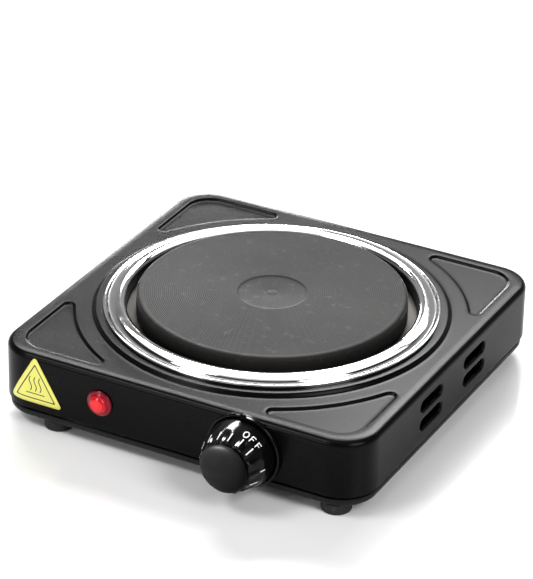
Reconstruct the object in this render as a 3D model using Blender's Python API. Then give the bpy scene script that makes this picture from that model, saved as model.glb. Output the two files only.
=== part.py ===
"""Countertop hot plate burner: pressed steel case, cast-iron plate, thermostat and knob.

Every node is one closed solid.  Sizes are millimetres here and become metres
in the mesh helpers.  The case is laid out about its own vertical axis, front
towards -Y, floor at z = 0; an empty then centres the whole footprint.
"""

import math

import bmesh
import bpy
from mathutils import Matrix, Vector

MM = 0.001
GAP = 0.3                    # clearance kept between touching pieces
ROUND = 56                   # facets round the burner's large circles
LEAD_GAP = 0.6               # clearance at the cut end of a lead

# Case
HALF = 115.0                 # half the width and half the depth
CORNER_R = 22.0
TOP_Z = 48.0
SEAM_Z = 13.0                # lower edge of the upper shell
BASE_Z = 7.0                 # underside of the base tray
SHEET = 1.2
TOP_ROLL = 3.5               # rolled edge round the top
FLANGE_IN = 11.0             # in-turned flange at the shell's lower edge
BASE_INSET = 1.0
PANEL_DEPTH = 1.2
PANEL_EDGE = 107.5           # straight sides of the corner recesses
PANEL_ARC_R = 112.0          # their concave side, concentric with the burner
PANEL_CORNER_R = 17.0
PANEL_TIP_R = 3.0

# Burner stack
STEP_R_OUT = 103.5           # raised step round the burner opening
STEP_R_IN = 98.5
STEP_RISE = 2.2
OPENING_R = 88.0
RING_R = 96.2
PLATE_R = 77.5
PLATE_TOP = 58.5
BRIDGE_Z = 29.0

# Front panel
KNOB_X = 45.0
KNOB_Z = 28.0
LAMP_X = -45.7
LAMP_Z = 30.2
VENT_LENGTH = 27.0
VENT_HEIGHT = 6.5
VENT_Y = 28.0
VENT_Z = (36.0, 24.5)

# Rear and underside
GLAND_X = -70.0
GLAND_Z = 27.0
GLAND_BORE = 4.0
FOOT_R = 8.8
FOOT_X = (-79.5, 95.3)
FOOT_Y = 103.0
BASE_SCREW_X = 107.6
BASE_SCREW_Y = 50.0

CERAMIC_Y = (33.0, 59.0)     # terminal ceramic, front and rear face
STRIP_Y = 72.0               # terminal strip's middle and half depth
STRIP_HALF = 8.0
BRACKET_SHEET = 1.2
CONTACT_REACH = 33.0
LEAD_R = 1.5
LEAD_STUB = 5.0              # straight stretch where a lead meets its terminal
CUTOUT_HALF = 9.0

KNOB_REACH = 28.3            # knob tip in front of the panel
GLAND_REACH = 3.4            # gland flange behind the rear wall
CENTRE_Y = (KNOB_REACH - GLAND_REACH) / 2


# ---------------------------------------------------------------- helpers

def clear_scene():
    for obj in list(bpy.data.objects):
        bpy.data.objects.remove(obj)


def finish_material(name, colour, rough, metal):
    mat = bpy.data.materials.get(name)
    if mat is None:
        mat = bpy.data.materials.new(name)
        mat.use_nodes = True
        shader = mat.node_tree.nodes["Principled BSDF"]
        shader.inputs["Base Color"].default_value = (*colour, 1.0)
        shader.inputs["Roughness"].default_value = rough
        shader.inputs["Metallic"].default_value = metal
    return mat


FINISHES = {
    "black_enamel": ((0.025, 0.025, 0.027), 0.32, 0.0),
    "chrome": ((0.85, 0.85, 0.86), 0.08, 1.0),
    "cast_iron": ((0.03, 0.03, 0.032), 0.6, 0.3),
    "zinc_steel": ((0.55, 0.56, 0.57), 0.4, 1.0),
    "rubber": ((0.02, 0.02, 0.02), 0.8, 0.0),
    "element_steel": ((0.2, 0.17, 0.15), 0.5, 0.9),
    "ceramic": ((0.85, 0.82, 0.75), 0.5, 0.0),
    "brass": ((0.75, 0.56, 0.25), 0.3, 1.0),
    "gloss_plastic": ((0.012, 0.012, 0.012), 0.12, 0.0),
    "grey_plastic": ((0.09, 0.09, 0.095), 0.5, 0.0),
    "red_lens": ((0.8, 0.03, 0.04), 0.15, 0.0),
    "bulb_glass": ((0.9, 0.6, 0.4), 0.1, 0.0),
    "nylon": ((0.8, 0.8, 0.76), 0.5, 0.0),
    "label_yellow": ((0.93, 0.85, 0.1), 0.4, 0.0),
    "lead_sleeve": ((0.75, 0.72, 0.65), 0.8, 0.0),
}


def add(name, mesh, finish, location=(0, 0, 0)):
    """Link a mesh as a named node with its material; location in mm."""
    colour, rough, metal = FINISHES[finish]
    mesh.materials.clear()
    mesh.materials.append(finish_material(finish, colour, rough, metal))
    obj = bpy.data.objects.new(name, mesh)
    obj.location = Vector(location) * MM
    bpy.context.collection.objects.link(obj)
    return obj


def to_mesh(name, bm, smooth=True):
    bmesh.ops.recalc_face_normals(bm, faces=bm.faces)
    mesh = bpy.data.meshes.new(name)
    bm.to_mesh(mesh)
    bm.free()
    if smooth:
        mesh.shade_smooth()
        mesh.set_sharp_from_angle(angle=math.radians(35))
    return mesh


def loops_mesh(name, loops, smooth=True):
    """Skin equal-count loops of (x, y, z) in mm and cap the ends."""
    bm = bmesh.new()
    rows = [[bm.verts.new(Vector(p) * MM) for p in loop] for loop in loops]
    count = len(rows[0])
    for low, high in zip(rows, rows[1:]):
        for i in range(count):
            j = (i + 1) % count
            bm.faces.new((low[i], low[j], high[j], high[i]))
    bm.faces.new(reversed(rows[0]))
    bm.faces.new(rows[-1])
    return to_mesh(name, bm, smooth)


def turned(name, profile, segments=32, axis="Z"):
    """Solid of revolution from (radius, height) points in mm.

    A profile that starts and ends on the axis closes as a solid bar; any other
    profile is a closed loop and gives a ring.
    """
    solid = profile[0][0] == 0 and profile[-1][0] == 0
    bm = bmesh.new()
    verts = [bm.verts.new((r * MM, 0, z * MM)) for r, z in profile]
    edges = [bm.edges.new(pair) for pair in zip(verts, verts[1:])]
    if not solid:
        edges.append(bm.edges.new((verts[-1], verts[0])))
    bmesh.ops.spin(bm, geom=verts + edges, cent=(0, 0, 0), axis=(0, 0, 1),
                   angle=2 * math.pi, steps=segments, use_merge=True)
    bmesh.ops.remove_doubles(bm, verts=bm.verts, dist=1e-7)
    if axis == "Y":          # height runs out of the front panel, towards -Y
        bmesh.ops.rotate(bm, verts=bm.verts, matrix=Matrix.Rotation(math.radians(90), 3, "X"))
    return to_mesh(name, bm)


def bar(radius, low, high, bevel=0.0):
    """Profile of a round bar with optional chamfers."""
    if not bevel:
        return [(0, low), (radius, low), (radius, high), (0, high)]
    return [(0, low), (radius - bevel, low), (radius, low + bevel),
            (radius, high - bevel), (radius - bevel, high), (0, high)]


def tube(inner, outer, low, high):
    return [(inner, low), (outer, low), (outer, high), (inner, high)]


def arc(cx, cy, radius, start, end, steps):
    """Points on an arc, angles in degrees."""
    return [(cx + radius * math.cos(math.radians(start + (end - start) * i / steps)),
             cy + radius * math.sin(math.radians(start + (end - start) * i / steps)))
            for i in range(steps + 1)]


def rounded_square(half, radius, steps=7):
    inner = half - radius
    points = []
    for sx, sy, start in ((1, 1, 0), (-1, 1, 90), (-1, -1, 180), (1, -1, 270)):
        points += arc(sx * inner, sy * inner, radius, start, start + 90, steps)
    return points


def stacked(name, half, radius, levels):
    """Square tray or shell form: levels are (inset, z)."""
    loops = [[(x, y, z) for x, y in rounded_square(half - inset, radius - inset)]
             for inset, z in levels]
    return loops_mesh(name, loops)


def prism(name, outline, low, high, axis="Z", smooth=False):
    """Extrude an outline; axis Y reads it as (x, z) at y = low..high, X as (y, z)."""
    def place(u, v, w):
        return {"Z": (u, v, w), "Y": (u, w, v), "X": (w, u, v)}[axis]
    loops = [[place(u, v, w) for u, v in outline] for w in (low, high)]
    return loops_mesh(name, loops, smooth=smooth)


def divided(outline, longest):
    """Add points so that no side of a closed outline is longer than asked."""
    points = []
    for (x0, y0), (x1, y1) in zip(outline, outline[1:] + outline[:1]):
        parts = max(1, math.ceil(math.hypot(x1 - x0, y1 - y0) / longest))
        points += [(x0 + (x1 - x0) * i / parts, y0 + (y1 - y0) * i / parts) for i in range(parts)]
    return points


def block(name, low, high):
    outline = [(low[0], low[1]), (high[0], low[1]), (high[0], high[1]), (low[0], high[1])]
    return prism(name, outline, low[2], high[2])


def obround(cx, cy, length, width, steps=4):
    run = (length - width) / 2
    return (arc(cx + run, cy, width / 2, -90, 90, steps)
            + arc(cx - run, cy, width / 2, 90, 270, steps))


def boolean(target, mesh, operation="DIFFERENCE", location=(0, 0, 0)):
    """Cut or join a mesh with an EXACT Boolean; the tool object stays hidden."""
    tool = bpy.data.objects.new(f"{target.name}_tool_{len(target.modifiers)}", mesh)
    tool.location = Vector(location) * MM
    tool.hide_render = True
    tool.display_type = "WIRE"
    bpy.context.collection.objects.link(tool)
    mod = target.modifiers.new(operation.lower(), "BOOLEAN")
    mod.operation = operation
    mod.solver = "EXACT"
    mod.object = tool
    return tool


def smooth_path(points, per_span=3):
    """Catmull-Rom curve through the given points."""
    pts = [Vector(p) for p in points]
    pts = [2 * pts[0] - pts[1]] + pts + [2 * pts[-1] - pts[-2]]
    path = []
    for a, b, c, d in zip(pts, pts[1:], pts[2:], pts[3:]):
        for i in range(per_span):
            t = i / per_span
            path.append(0.5 * (2 * b + (c - a) * t + (2 * a - 5 * b + 4 * c - d) * t ** 2
                               + (3 * b - a - 3 * c + d) * t ** 3))
    path.append(pts[-2])
    return path


def wire(name, points, radius, finish, sides=2):
    """Round wire along a list of points in mm, with filled ends."""
    curve = bpy.data.curves.new(name, "CURVE")
    curve.dimensions = "3D"
    curve.bevel_depth = radius * MM
    curve.bevel_resolution = sides
    curve.use_fill_caps = True
    spline = curve.splines.new("POLY")
    spline.points.add(len(points) - 1)
    for slot, point in zip(spline.points, points):
        slot.co = (*(Vector(point) * MM), 1.0)
    colour, rough, metal = FINISHES[finish]
    curve.materials.append(finish_material(finish, colour, rough, metal))
    obj = bpy.data.objects.new(name, curve)
    bpy.context.collection.objects.link(obj)
    return obj


# ---------------------------------------------------------------- case

def corner_panel(shrink=0.0):
    """Outline of the recess at the +X +Y corner."""
    edge = PANEL_EDGE - shrink
    outer_r = PANEL_CORNER_R - shrink
    arc_r = PANEL_ARC_R + shrink
    tip_r = PANEL_TIP_R
    # the tip circle touches the straight side and the burner-side arc
    tip_x = edge - tip_r
    tip_y = math.sqrt((arc_r + tip_r) ** 2 - tip_x ** 2)
    lean = math.degrees(math.atan2(tip_y, tip_x))
    centre = edge - outer_r
    points = arc(tip_x, tip_y, tip_r, 180 + lean, 360, 3)
    points += arc(centre, centre, outer_r, 0, 90, 5)
    points += arc(tip_y, tip_x, tip_r, 90, 270 - lean, 3)
    points += arc(0, 0, arc_r, 90 - lean, lean, 6)[1:-1]
    return points


def rotated_panel(name, quarter, low, high, shrink=0.0):
    mesh = prism(name, corner_panel(shrink), low, high)
    mesh.transform(Matrix.Rotation(math.radians(90 * quarter), 4, "Z"))
    return mesh


def top_housing():
    roll = [(TOP_ROLL * (1 - math.cos(math.radians(a))),
             TOP_Z - TOP_ROLL + TOP_ROLL * math.sin(math.radians(a))) for a in (0, 30, 60, 90)]
    shell = add("top_housing", stacked("top_housing", HALF, CORNER_R, [(0, SEAM_Z)] + roll),
                "black_enamel")
    step = [(OPENING_R, TOP_Z - 0.6), (STEP_R_OUT, TOP_Z - 0.6), (STEP_R_OUT, TOP_Z),
            (STEP_R_OUT - 1.8, TOP_Z + 0.5), (STEP_R_IN + 1.2, TOP_Z + STEP_RISE - 0.5),
            (STEP_R_IN, TOP_Z + STEP_RISE), (OPENING_R, TOP_Z + STEP_RISE)]
    boolean(shell, turned("step", step, ROUND), "UNION")
    for quarter in range(4):
        boolean(shell, rotated_panel("recess", quarter, TOP_Z - PANEL_DEPTH, TOP_Z + 2))
    inner_roll = [(i, z - SHEET) for i, z in roll]
    hollow = stacked("hollow", HALF - SHEET, CORNER_R - SHEET,
                     [(0, SEAM_Z + SHEET)] + inner_roll)
    cutter = boolean(shell, hollow)
    for quarter in range(4):
        boolean(cutter, rotated_panel("pocket", quarter, TOP_Z - SHEET - PANEL_DEPTH,
                                      TOP_Z + 2, shrink=-SHEET))
    boolean(shell, turned("step_relief", bar(STEP_R_IN - SHEET, TOP_Z - 4, TOP_Z + 1.0), ROUND))
    boolean(shell, turned("opening", bar(OPENING_R, TOP_Z - 3, TOP_Z + 5), ROUND))
    boolean(shell, stacked("mouth", HALF - FLANGE_IN, CORNER_R - FLANGE_IN,
                           [(0, SEAM_Z - 2), (0, SEAM_Z + 3)]))
    for side in (-1, 1):
        for y in (-VENT_Y, VENT_Y):
            for z in VENT_Z:
                reach = sorted((side * (HALF - 4), side * (HALF + 4)))
                slot = prism("vent", obround(y, z, VENT_LENGTH, VENT_HEIGHT), *reach, axis="X")
                boolean(shell, slot)
    for x, z, radius in ((KNOB_X, KNOB_Z, 5.0), (LAMP_X, LAMP_Z, 5.6),
                         (KNOB_X - 12, KNOB_Z, 1.8), (KNOB_X + 12, KNOB_Z, 1.8)):
        boolean(shell, turned("front_hole", bar(radius, -4, 4), 12, "Y"), location=(x, -HALF, z))
    boolean(shell, turned("rear_hole", bar(6.6, -4, 4), 16, "Y"),
            location=(GLAND_X, HALF, GLAND_Z))
    for x in (-BASE_SCREW_X, BASE_SCREW_X):
        for y in (-BASE_SCREW_Y, BASE_SCREW_Y):
            boolean(shell, turned("screw_hole", bar(1.9, SEAM_Z - 2, SEAM_Z + 3), 8),
                    location=(x, y, 0))
    return shell


def base_cover():
    half = HALF - BASE_INSET
    rim = SEAM_Z - GAP
    levels = [(2.5, BASE_Z), (0.7, BASE_Z + 0.7), (0, BASE_Z + 2.5), (0, rim)]
    tray = add("base_cover", stacked("base_cover", half, CORNER_R - BASE_INSET, levels),
               "black_enamel")
    inner = stacked("tray_hollow", half - SHEET, CORNER_R - BASE_INSET - SHEET,
                    [(2.5, BASE_Z + SHEET), (0, BASE_Z + SHEET + 2.0), (0, SEAM_Z + 2)])
    boolean(tray, inner)
    for x in (-BASE_SCREW_X, BASE_SCREW_X):
        for y in (-BASE_SCREW_Y, BASE_SCREW_Y):
            pad = block("pad", (x - 5.5, y - 7, BASE_Z + 0.9), (x + 5.5, y + 7, rim))
            boolean(tray, pad, "UNION")
            boolean(tray, turned("pad_hole", bar(1.9, BASE_Z - 2, SEAM_Z + 1), 8),
                    location=(x, y, 0))
    for x in FOOT_X:
        for y in (-FOOT_Y, FOOT_Y):
            boolean(tray, turned("foot_hole", bar(2.2, BASE_Z - 2, BASE_Z + 4), 8),
                    location=(x, y, 0))
    for row in (-1, 1):
        for i in range(4):
            slot = prism("louvre", obround(row * 34, -36 + 24 * i, 46, 6, 4),
                         BASE_Z - 2, BASE_Z + 4)
            boolean(tray, slot)
    return tray


def feet_and_screws():
    foot = turned("foot", [(2.1, 2.6), (4.2, 2.6), (4.2, 0), (FOOT_R - 1.6, 0),
                           (FOOT_R - 0.5, 0.8), (FOOT_R, BASE_Z - GAP), (2.1, BASE_Z - GAP)], 18)
    foot_screw = turned("foot_screw", [(0, 0.6), (3.2, 0.6), (3.6, 1.1), (3.6, 2.3), (1.7, 2.3),
                                       (1.7, BASE_Z + 4), (0, BASE_Z + 5)], 10)
    head = BASE_Z - GAP
    base_screw = turned("base_screw", [(0, head - 1.9), (2.2, head - 1.9), (3.2, head - 1.1),
                                       (3.2, head), (1.5, head), (1.5, SEAM_Z + 4),
                                       (0, SEAM_Z + 5.5)], 10)
    for y, end in ((-1, "front"), (1, "rear")):
        for x, side in ((0, "left"), (1, "right")):
            add(f"foot_{end}_{side}", foot, "rubber", (FOOT_X[x], y * FOOT_Y, 0))
            add(f"foot_screw_{end}_{side}", foot_screw, "zinc_steel", (FOOT_X[x], y * FOOT_Y, 0))
            place = ((2 * x - 1) * BASE_SCREW_X, y * BASE_SCREW_Y, 0)
            add(f"base_screw_{end}_{side}", base_screw, "zinc_steel", place)


def warning_label():
    """Rounded triangle sticker that follows the wall round the front left corner."""
    height, base, round_r = 29.9, 35.1, 1.6
    centre_s, foot_z = -87.4, 18.0
    corners = [(-base / 2, 0.0), (base / 2, 0.0), (0.0, height)]
    inner = [Vector(c) for c in corners]
    centroid = sum(inner, Vector((0, 0))) / 3
    outline = []
    for i, (x, z) in enumerate(corners):
        # circle of round_r tucked into each corner, along its bisector
        prev_dir = (inner[i - 1] - inner[i]).normalized()
        next_dir = (inner[(i + 1) % 3] - inner[i]).normalized()
        half_angle = prev_dir.angle(next_dir) / 2
        centre = inner[i] + (prev_dir + next_dir).normalized() * round_r / math.sin(half_angle)
        out = math.degrees(math.atan2(*reversed(inner[i] - centre)))
        swing = 90 - math.degrees(half_angle)
        outline += arc(centre.x, centre.y, round_r, out - swing, out + swing, 3)
    outline = divided(outline, 5.0)
    flat_end = -(HALF - CORNER_R)

    def on_wall(s, z, proud):
        run = flat_end - s
        if run <= 0:
            return (s, -HALF - proud, z)
        turn = run / CORNER_R
        reach = CORNER_R + proud
        return (flat_end - reach * math.sin(turn), flat_end - reach * math.cos(turn), z)

    bm = bmesh.new()
    rings = 4
    layers = []
    for proud in (GAP, GAP + 0.25):
        hub = bm.verts.new(Vector(on_wall(centre_s, foot_z + centroid.y, proud)) * MM)
        rows = []
        for k in range(1, rings + 1):
            part = k / rings
            ring = [on_wall(centre_s + u * part, foot_z + centroid.y + (v - centroid.y) * part, proud)
                    for u, v in outline]
            rows.append([bm.verts.new(Vector(p) * MM) for p in ring])
        layers.append((hub, rows))
    count = len(outline)
    for (hub, rows), flip in zip(layers, (False, True)):
        for i in range(count):
            j = (i + 1) % count
            fan = (hub, rows[0][i], rows[0][j])
            bm.faces.new(tuple(reversed(fan)) if flip else fan)
            for low, high in zip(rows, rows[1:]):
                quad = (low[i], high[i], high[j], low[j])
                bm.faces.new(tuple(reversed(quad)) if flip else quad)
    inner_rim, outer_rim = layers[0][1][-1], layers[1][1][-1]
    for i in range(count):
        j = (i + 1) % count
        bm.faces.new((inner_rim[i], outer_rim[i], outer_rim[j], inner_rim[j]))
    return add("heat_warning_label", to_mesh("heat_warning_label", bm), "label_yellow")


# ---------------------------------------------------------------- burner

def trim_ring():
    """Chrome ring: outer lip on the raised step, domed band, inner ledge under the plate rim."""
    seat = TOP_Z + STEP_RISE + GAP
    outer = [(RING_R, seat), (RING_R, seat + 1.5), (RING_R - 1.2, seat + 1.9),
             (94.0, seat + 1.5), (92.6, TOP_Z + 5.4), (89.8, TOP_Z + 6.9),
             (86.6, TOP_Z + 7.2), (84.4, TOP_Z + 6.5), (83.2, TOP_Z + 4.6),
             (83.2, TOP_Z - 2.0), (74.5, TOP_Z - 2.0)]
    inner = [(74.5, TOP_Z - 2.9), (84.2, TOP_Z - 2.9), (84.2, TOP_Z + 4.6),
             (86.6, TOP_Z + 6.2), (91.6, TOP_Z + 4.6), (92.8, seat)]
    return add("trim_ring", turned("trim_ring", outer + inner, ROUND), "chrome")


def cast_plate():
    low = TOP_Z - 2.0 + GAP
    profile = [(0, PLATE_TOP - 0.6), (19.5, PLATE_TOP - 0.6), (20.5, PLATE_TOP),
               (PLATE_R - 2.5, PLATE_TOP), (PLATE_R - 0.7, PLATE_TOP - 0.7),
               (PLATE_R, PLATE_TOP - 2.5), (PLATE_R, low), (71.0, low), (71.0, low + 5.5),
               (35.0, low + 5.5), (35.0, low), (13.0, low), (13.0, TOP_Z - 5.0),
               (3.4, TOP_Z - 5.0), (3.4, TOP_Z + 3.0), (0, TOP_Z + 3.0)]
    return add("cast_iron_plate", turned("cast_iron_plate", profile, 48), "cast_iron")


def heating_element():
    """Spiral heater rod in the groove under the plate, with two downturned ends."""
    z, steps = TOP_Z + 1.0, 46
    inner_r, outer_r = 42.0, 60.0
    path = []
    for i in range(steps + 1):
        t = i / steps
        angle = math.radians(105 + 705 * t)
        radius = inner_r + (outer_r - inner_r) * t
        path.append((radius * math.cos(angle), radius * math.sin(angle), z))
    first, last = path[0], path[-1]
    low = TOP_Z - 7.5
    path = [(first[0], first[1], low), (first[0], first[1], z - 2.6)] + path[1:]
    path += [(last[0], last[1] - 3.5, z - 1.0), (last[0], last[1] - 4.5, z - 3.5),
             (last[0], last[1] - 4.5, low)]
    return wire("heating_element", path, 2.1, "element_steel", sides=1)


def element_cover():
    """Sheet disc that closes the heater groove, cut for the two terminals."""
    top = TOP_Z - 2.0
    cover = add("element_cover", turned("element_cover", tube(14.0, 72.5, top - 0.9, top), 36),
                "zinc_steel")
    boolean(cover, block("terminal_slot", (-18, 30, top - 4), (8, 69, top + 3)))
    return cover


def terminal_ceramic():
    block_low = TOP_Z - 14.5
    body = add("terminal_ceramic", block("terminal_ceramic", (-17, CERAMIC_Y[0], block_low),
                                         (7, CERAMIC_Y[1], block_low + 6.5)), "ceramic")
    return body


def heat_shield():
    """Shallow dish that keeps the element's heat off the base."""
    outer = [(96.0, 46.4), (87.6, 46.4), (62.0, 33.4), (28.0, 33.4)]
    inner = [(28.0, 32.6), (62.4, 32.6), (87.9, 45.6), (96.0, 45.6)]
    shield = add("heat_shield", turned("heat_shield", outer + inner, 40), "zinc_steel")
    boolean(shield, block("terminal_window", (-21, 16, 30), (11, 61.5, 36)))
    return shield


def clamp_bridge():
    """Steel strap that the centre stud pulls up against the shield's rim."""
    t, z, reach, top, lip = 1.6, BRIDGE_Z, 92.0, 45.2, 4.0
    outline = [(reach, top), (reach - lip, top), (reach - lip, top - t), (reach - t, top - t),
               (reach - t, z + t), (-reach + t, z + t), (-reach + t, top - t),
               (-reach + lip, top - t), (-reach + lip, top), (-reach, top), (-reach, z), (reach, z)]
    bridge = add("clamp_bridge", prism("clamp_bridge", outline, -11, 11, axis="Y"), "zinc_steel")
    boolean(bridge, turned("stud_hole", bar(3.6, z - 3, z + 5), 12))
    return bridge


def stud_washer_nut():
    add("centre_stud", turned("centre_stud", bar(3.0, 18.0, TOP_Z + 2.6, 0.6), 12), "zinc_steel")
    add("stud_washer", turned("stud_washer", tube(3.5, 9.0, BRIDGE_Z - GAP - 1.5, BRIDGE_Z - GAP),
                              18), "zinc_steel")
    top = BRIDGE_Z - 2 * GAP - 1.5
    nut = add("stud_nut", turned("stud_nut", bar(5.9, top - 5.0, top, 0.5), 6), "zinc_steel")
    boolean(nut, turned("nut_thread", bar(3.5, top - 8, top + 3), 12))


# ---------------------------------------------------------------- thermostat

def thermostat():
    """Bracket, ceramic body, bimetal and contacts behind the front panel."""
    inside = -HALF + SHEET + GAP
    x, z = KNOB_X, KNOB_Z
    bracket = add("thermostat_bracket",
                  block("thermostat_bracket", (x - 17, inside, z - 9),
                        (x + 17, inside + BRACKET_SHEET, z + 9)), "zinc_steel")
    for dx, radius in ((0, 4.4), (-12, 1.8), (12, 1.8)):
        boolean(bracket, turned("bracket_hole", bar(radius, -4, 4), 12, "Y"),
                location=(x + dx, inside, z))
    front = inside + BRACKET_SHEET + GAP
    body = add("thermostat_body", block("thermostat_body", (x - 8.5, front, z - 7.5),
                                        (x + 8.5, front + 18, z + 7.5)), "ceramic")
    boolean(body, turned("shaft_bore", bar(3.5, -14, 4), 14, "Y"), location=(x, front, z))
    deck = z + 7.5 + GAP
    add("fixed_contact", block("fixed_contact", (x - 3, front + 1, deck),
                               (x + 3, front + CONTACT_REACH, deck + 0.6)), "brass")
    hinge_y = front + 4.0
    blade_z = deck + 2.9
    blade = block("contact_blade", (-2.5, -2.0, -0.3), (2.5, 26.0, 0.3))
    add("contact_blade", blade, "brass", (x, hinge_y, blade_z))
    spacers = (("lower", deck + 0.6, blade_z - 0.3), ("upper", blade_z + 0.3, deck + 5.8))
    for name, low, high in spacers:
        add(f"contact_spacer_{name}", block(f"contact_spacer_{name}",
                                            (x - 3, hinge_y - 2, low + GAP),
                                            (x + 3, hinge_y + 2, high - GAP)), "ceramic")
    add("bimetal_strip", block("bimetal_strip", (x - 3.5, front + 1, deck + 5.8),
                               (x + 3.5, front + 40, deck + 6.8)), "zinc_steel")
    screw = turned("thermostat_screw", [(0, -6.0), (1.5, -6.0), (1.5, GAP), (3.0, GAP),
                                        (3.0, 1.2), (2.2, 1.7), (0, 1.7)], 10, "Y")
    for dx, side in ((-12, "left"), (12, "right")):
        add(f"thermostat_screw_{side}", screw, "zinc_steel", (x + dx, -HALF, z))
    # turning spindle: round in the bearing, flat on its upper side in the knob
    shaft = add("thermostat_shaft", turned("thermostat_shaft", bar(3.0, -14.5, 19.5, 0.4), 16, "Y"),
                "brass", (x, -HALF, z))
    boolean(shaft, block("shaft_flat", (x - 5, -HALF - 25, z + 2.0), (x + 5, -HALF - 6, z + 5)))


def knob_bezel():
    """Fixed ring on the panel round the knob, with a pointer tab at the top."""
    profile = [(6.0, GAP), (22.2, GAP), (22.2, 2.4), (21.4, 3.0), (20.6, 3.0), (20.6, 1.5),
               (6.0, 1.5)]
    bezel = add("knob_bezel", turned("knob_bezel", profile, 36, "Y"), "gloss_plastic",
                (KNOB_X, -HALF, KNOB_Z))
    tab = [(-1.6, 20.4), (1.6, 20.4), (1.6, 23.4), (-1.6, 23.4)]
    boolean(bezel, prism("tab", tab, -4.2, -GAP - 0.2, axis="Y"), "UNION",
            (KNOB_X, -HALF, KNOB_Z))
    for dx in (-12, 12):
        boolean(bezel, turned("bezel_hole", bar(3.4, -2, 4), 12, "Y"),
                location=(KNOB_X + dx, -HALF, KNOB_Z))
    return bezel


def knob():
    """Printed dial cone with its grip and hub in one moulding, its cap and its shaft clip."""
    profile = [(19.9, 3.4), (20.1, 4.4), (18.4, 13.0), (16.5, 20.6), (15.4, 22.4), (4.3, 22.4),
               (4.3, 3.4), (6.8, 3.4), (6.8, 20.0), (15.0, 20.0), (18.7, 3.4)]
    dial = add("knob_dial", turned("knob_dial", profile, 36, "Y"), "gloss_plastic",
               (KNOB_X, -HALF, KNOB_Z))
    cap_profile = [(0, 22.4 + GAP), (14.0, 22.4 + GAP), (14.5, 23.6), (13.9, 25.4), (12.0, 26.9),
                   (8.5, 27.9), (4.2, KNOB_REACH - 0.05), (0, KNOB_REACH)]
    add("knob_cap", turned("knob_cap", cap_profile, 28, "Y"), "grey_plastic",
        (KNOB_X, -HALF, KNOB_Z))
    clip = add("shaft_clip", turned("shaft_clip", tube(3.4, 3.95, 8.0, 18.0), 16, "Y"),
               "zinc_steel", (KNOB_X, -HALF, KNOB_Z))
    boolean(clip, block("clip_slit", (-1.2, -20, -6), (1.2, -6, 0)),
            location=(KNOB_X, -HALF, KNOB_Z))
    return dial


# ---------------------------------------------------------------- lamp, gland and wiring

def lamp():
    place = (LAMP_X, -HALF, LAMP_Z)
    lens = [(0, 4.6), (2.6, 4.5), (4.6, 4.0), (5.2, 3.2), (5.3, 1.7), (7.4, 1.5), (7.8, 0.9),
            (7.8, GAP), (5.3, GAP), (5.3, -11.0), (4.1, -11.0), (4.1, 2.6), (0, 3.2)]
    add("lamp_lens", turned("lamp_lens", lens, 22, "Y"), "red_lens", place)
    bulb = [(0, 2.2), (1.6, 1.8), (2.6, 0.4), (2.6, -10.5), (1.8, -12.5), (0, -12.5)]
    add("neon_bulb", turned("neon_bulb", bulb, 12, "Y"), "bulb_glass", place)
    back = -SHEET - GAP
    clip = tube(5.6, 8.2, back - 1.0, back)
    add("lamp_clip", turned("lamp_clip", clip, 18, "Y"), "zinc_steel", place)


def cord_gland():
    """Rear bush for the supply cord: flange outside, nut inside."""
    place = (GLAND_X, HALF, GLAND_Z)
    bush = [(GLAND_BORE, -GLAND_REACH), (8.0, -GLAND_REACH), (9.0, -GLAND_REACH + 0.9),
            (9.0, -GAP), (6.1, -GAP), (6.1, 10.0), (GLAND_BORE, 10.0)]
    add("cord_gland", turned("cord_gland", bush, 20, "Y"), "nylon", place)
    nut = add("gland_nut", turned("gland_nut", bar(9.2, SHEET + GAP, SHEET + GAP + 4.0), 6, "Y"),
              "nylon", place)
    boolean(nut, turned("gland_thread", bar(6.6, -1, 9), 16, "Y"), location=place)


def terminal_strip():
    x, y, z = GLAND_X, STRIP_Y, BASE_Z + SHEET + GAP
    strip = add("terminal_strip", block("terminal_strip", (x - 15, y - STRIP_HALF, z),
                                        (x + 15, y + STRIP_HALF, z + 11)), "nylon")
    for dx in (-9, 0, 9):
        boolean(strip, turned("screw_well", bar(2.3, z + 5, z + 14), 8), location=(x + dx, y, 0))
    return strip


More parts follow.
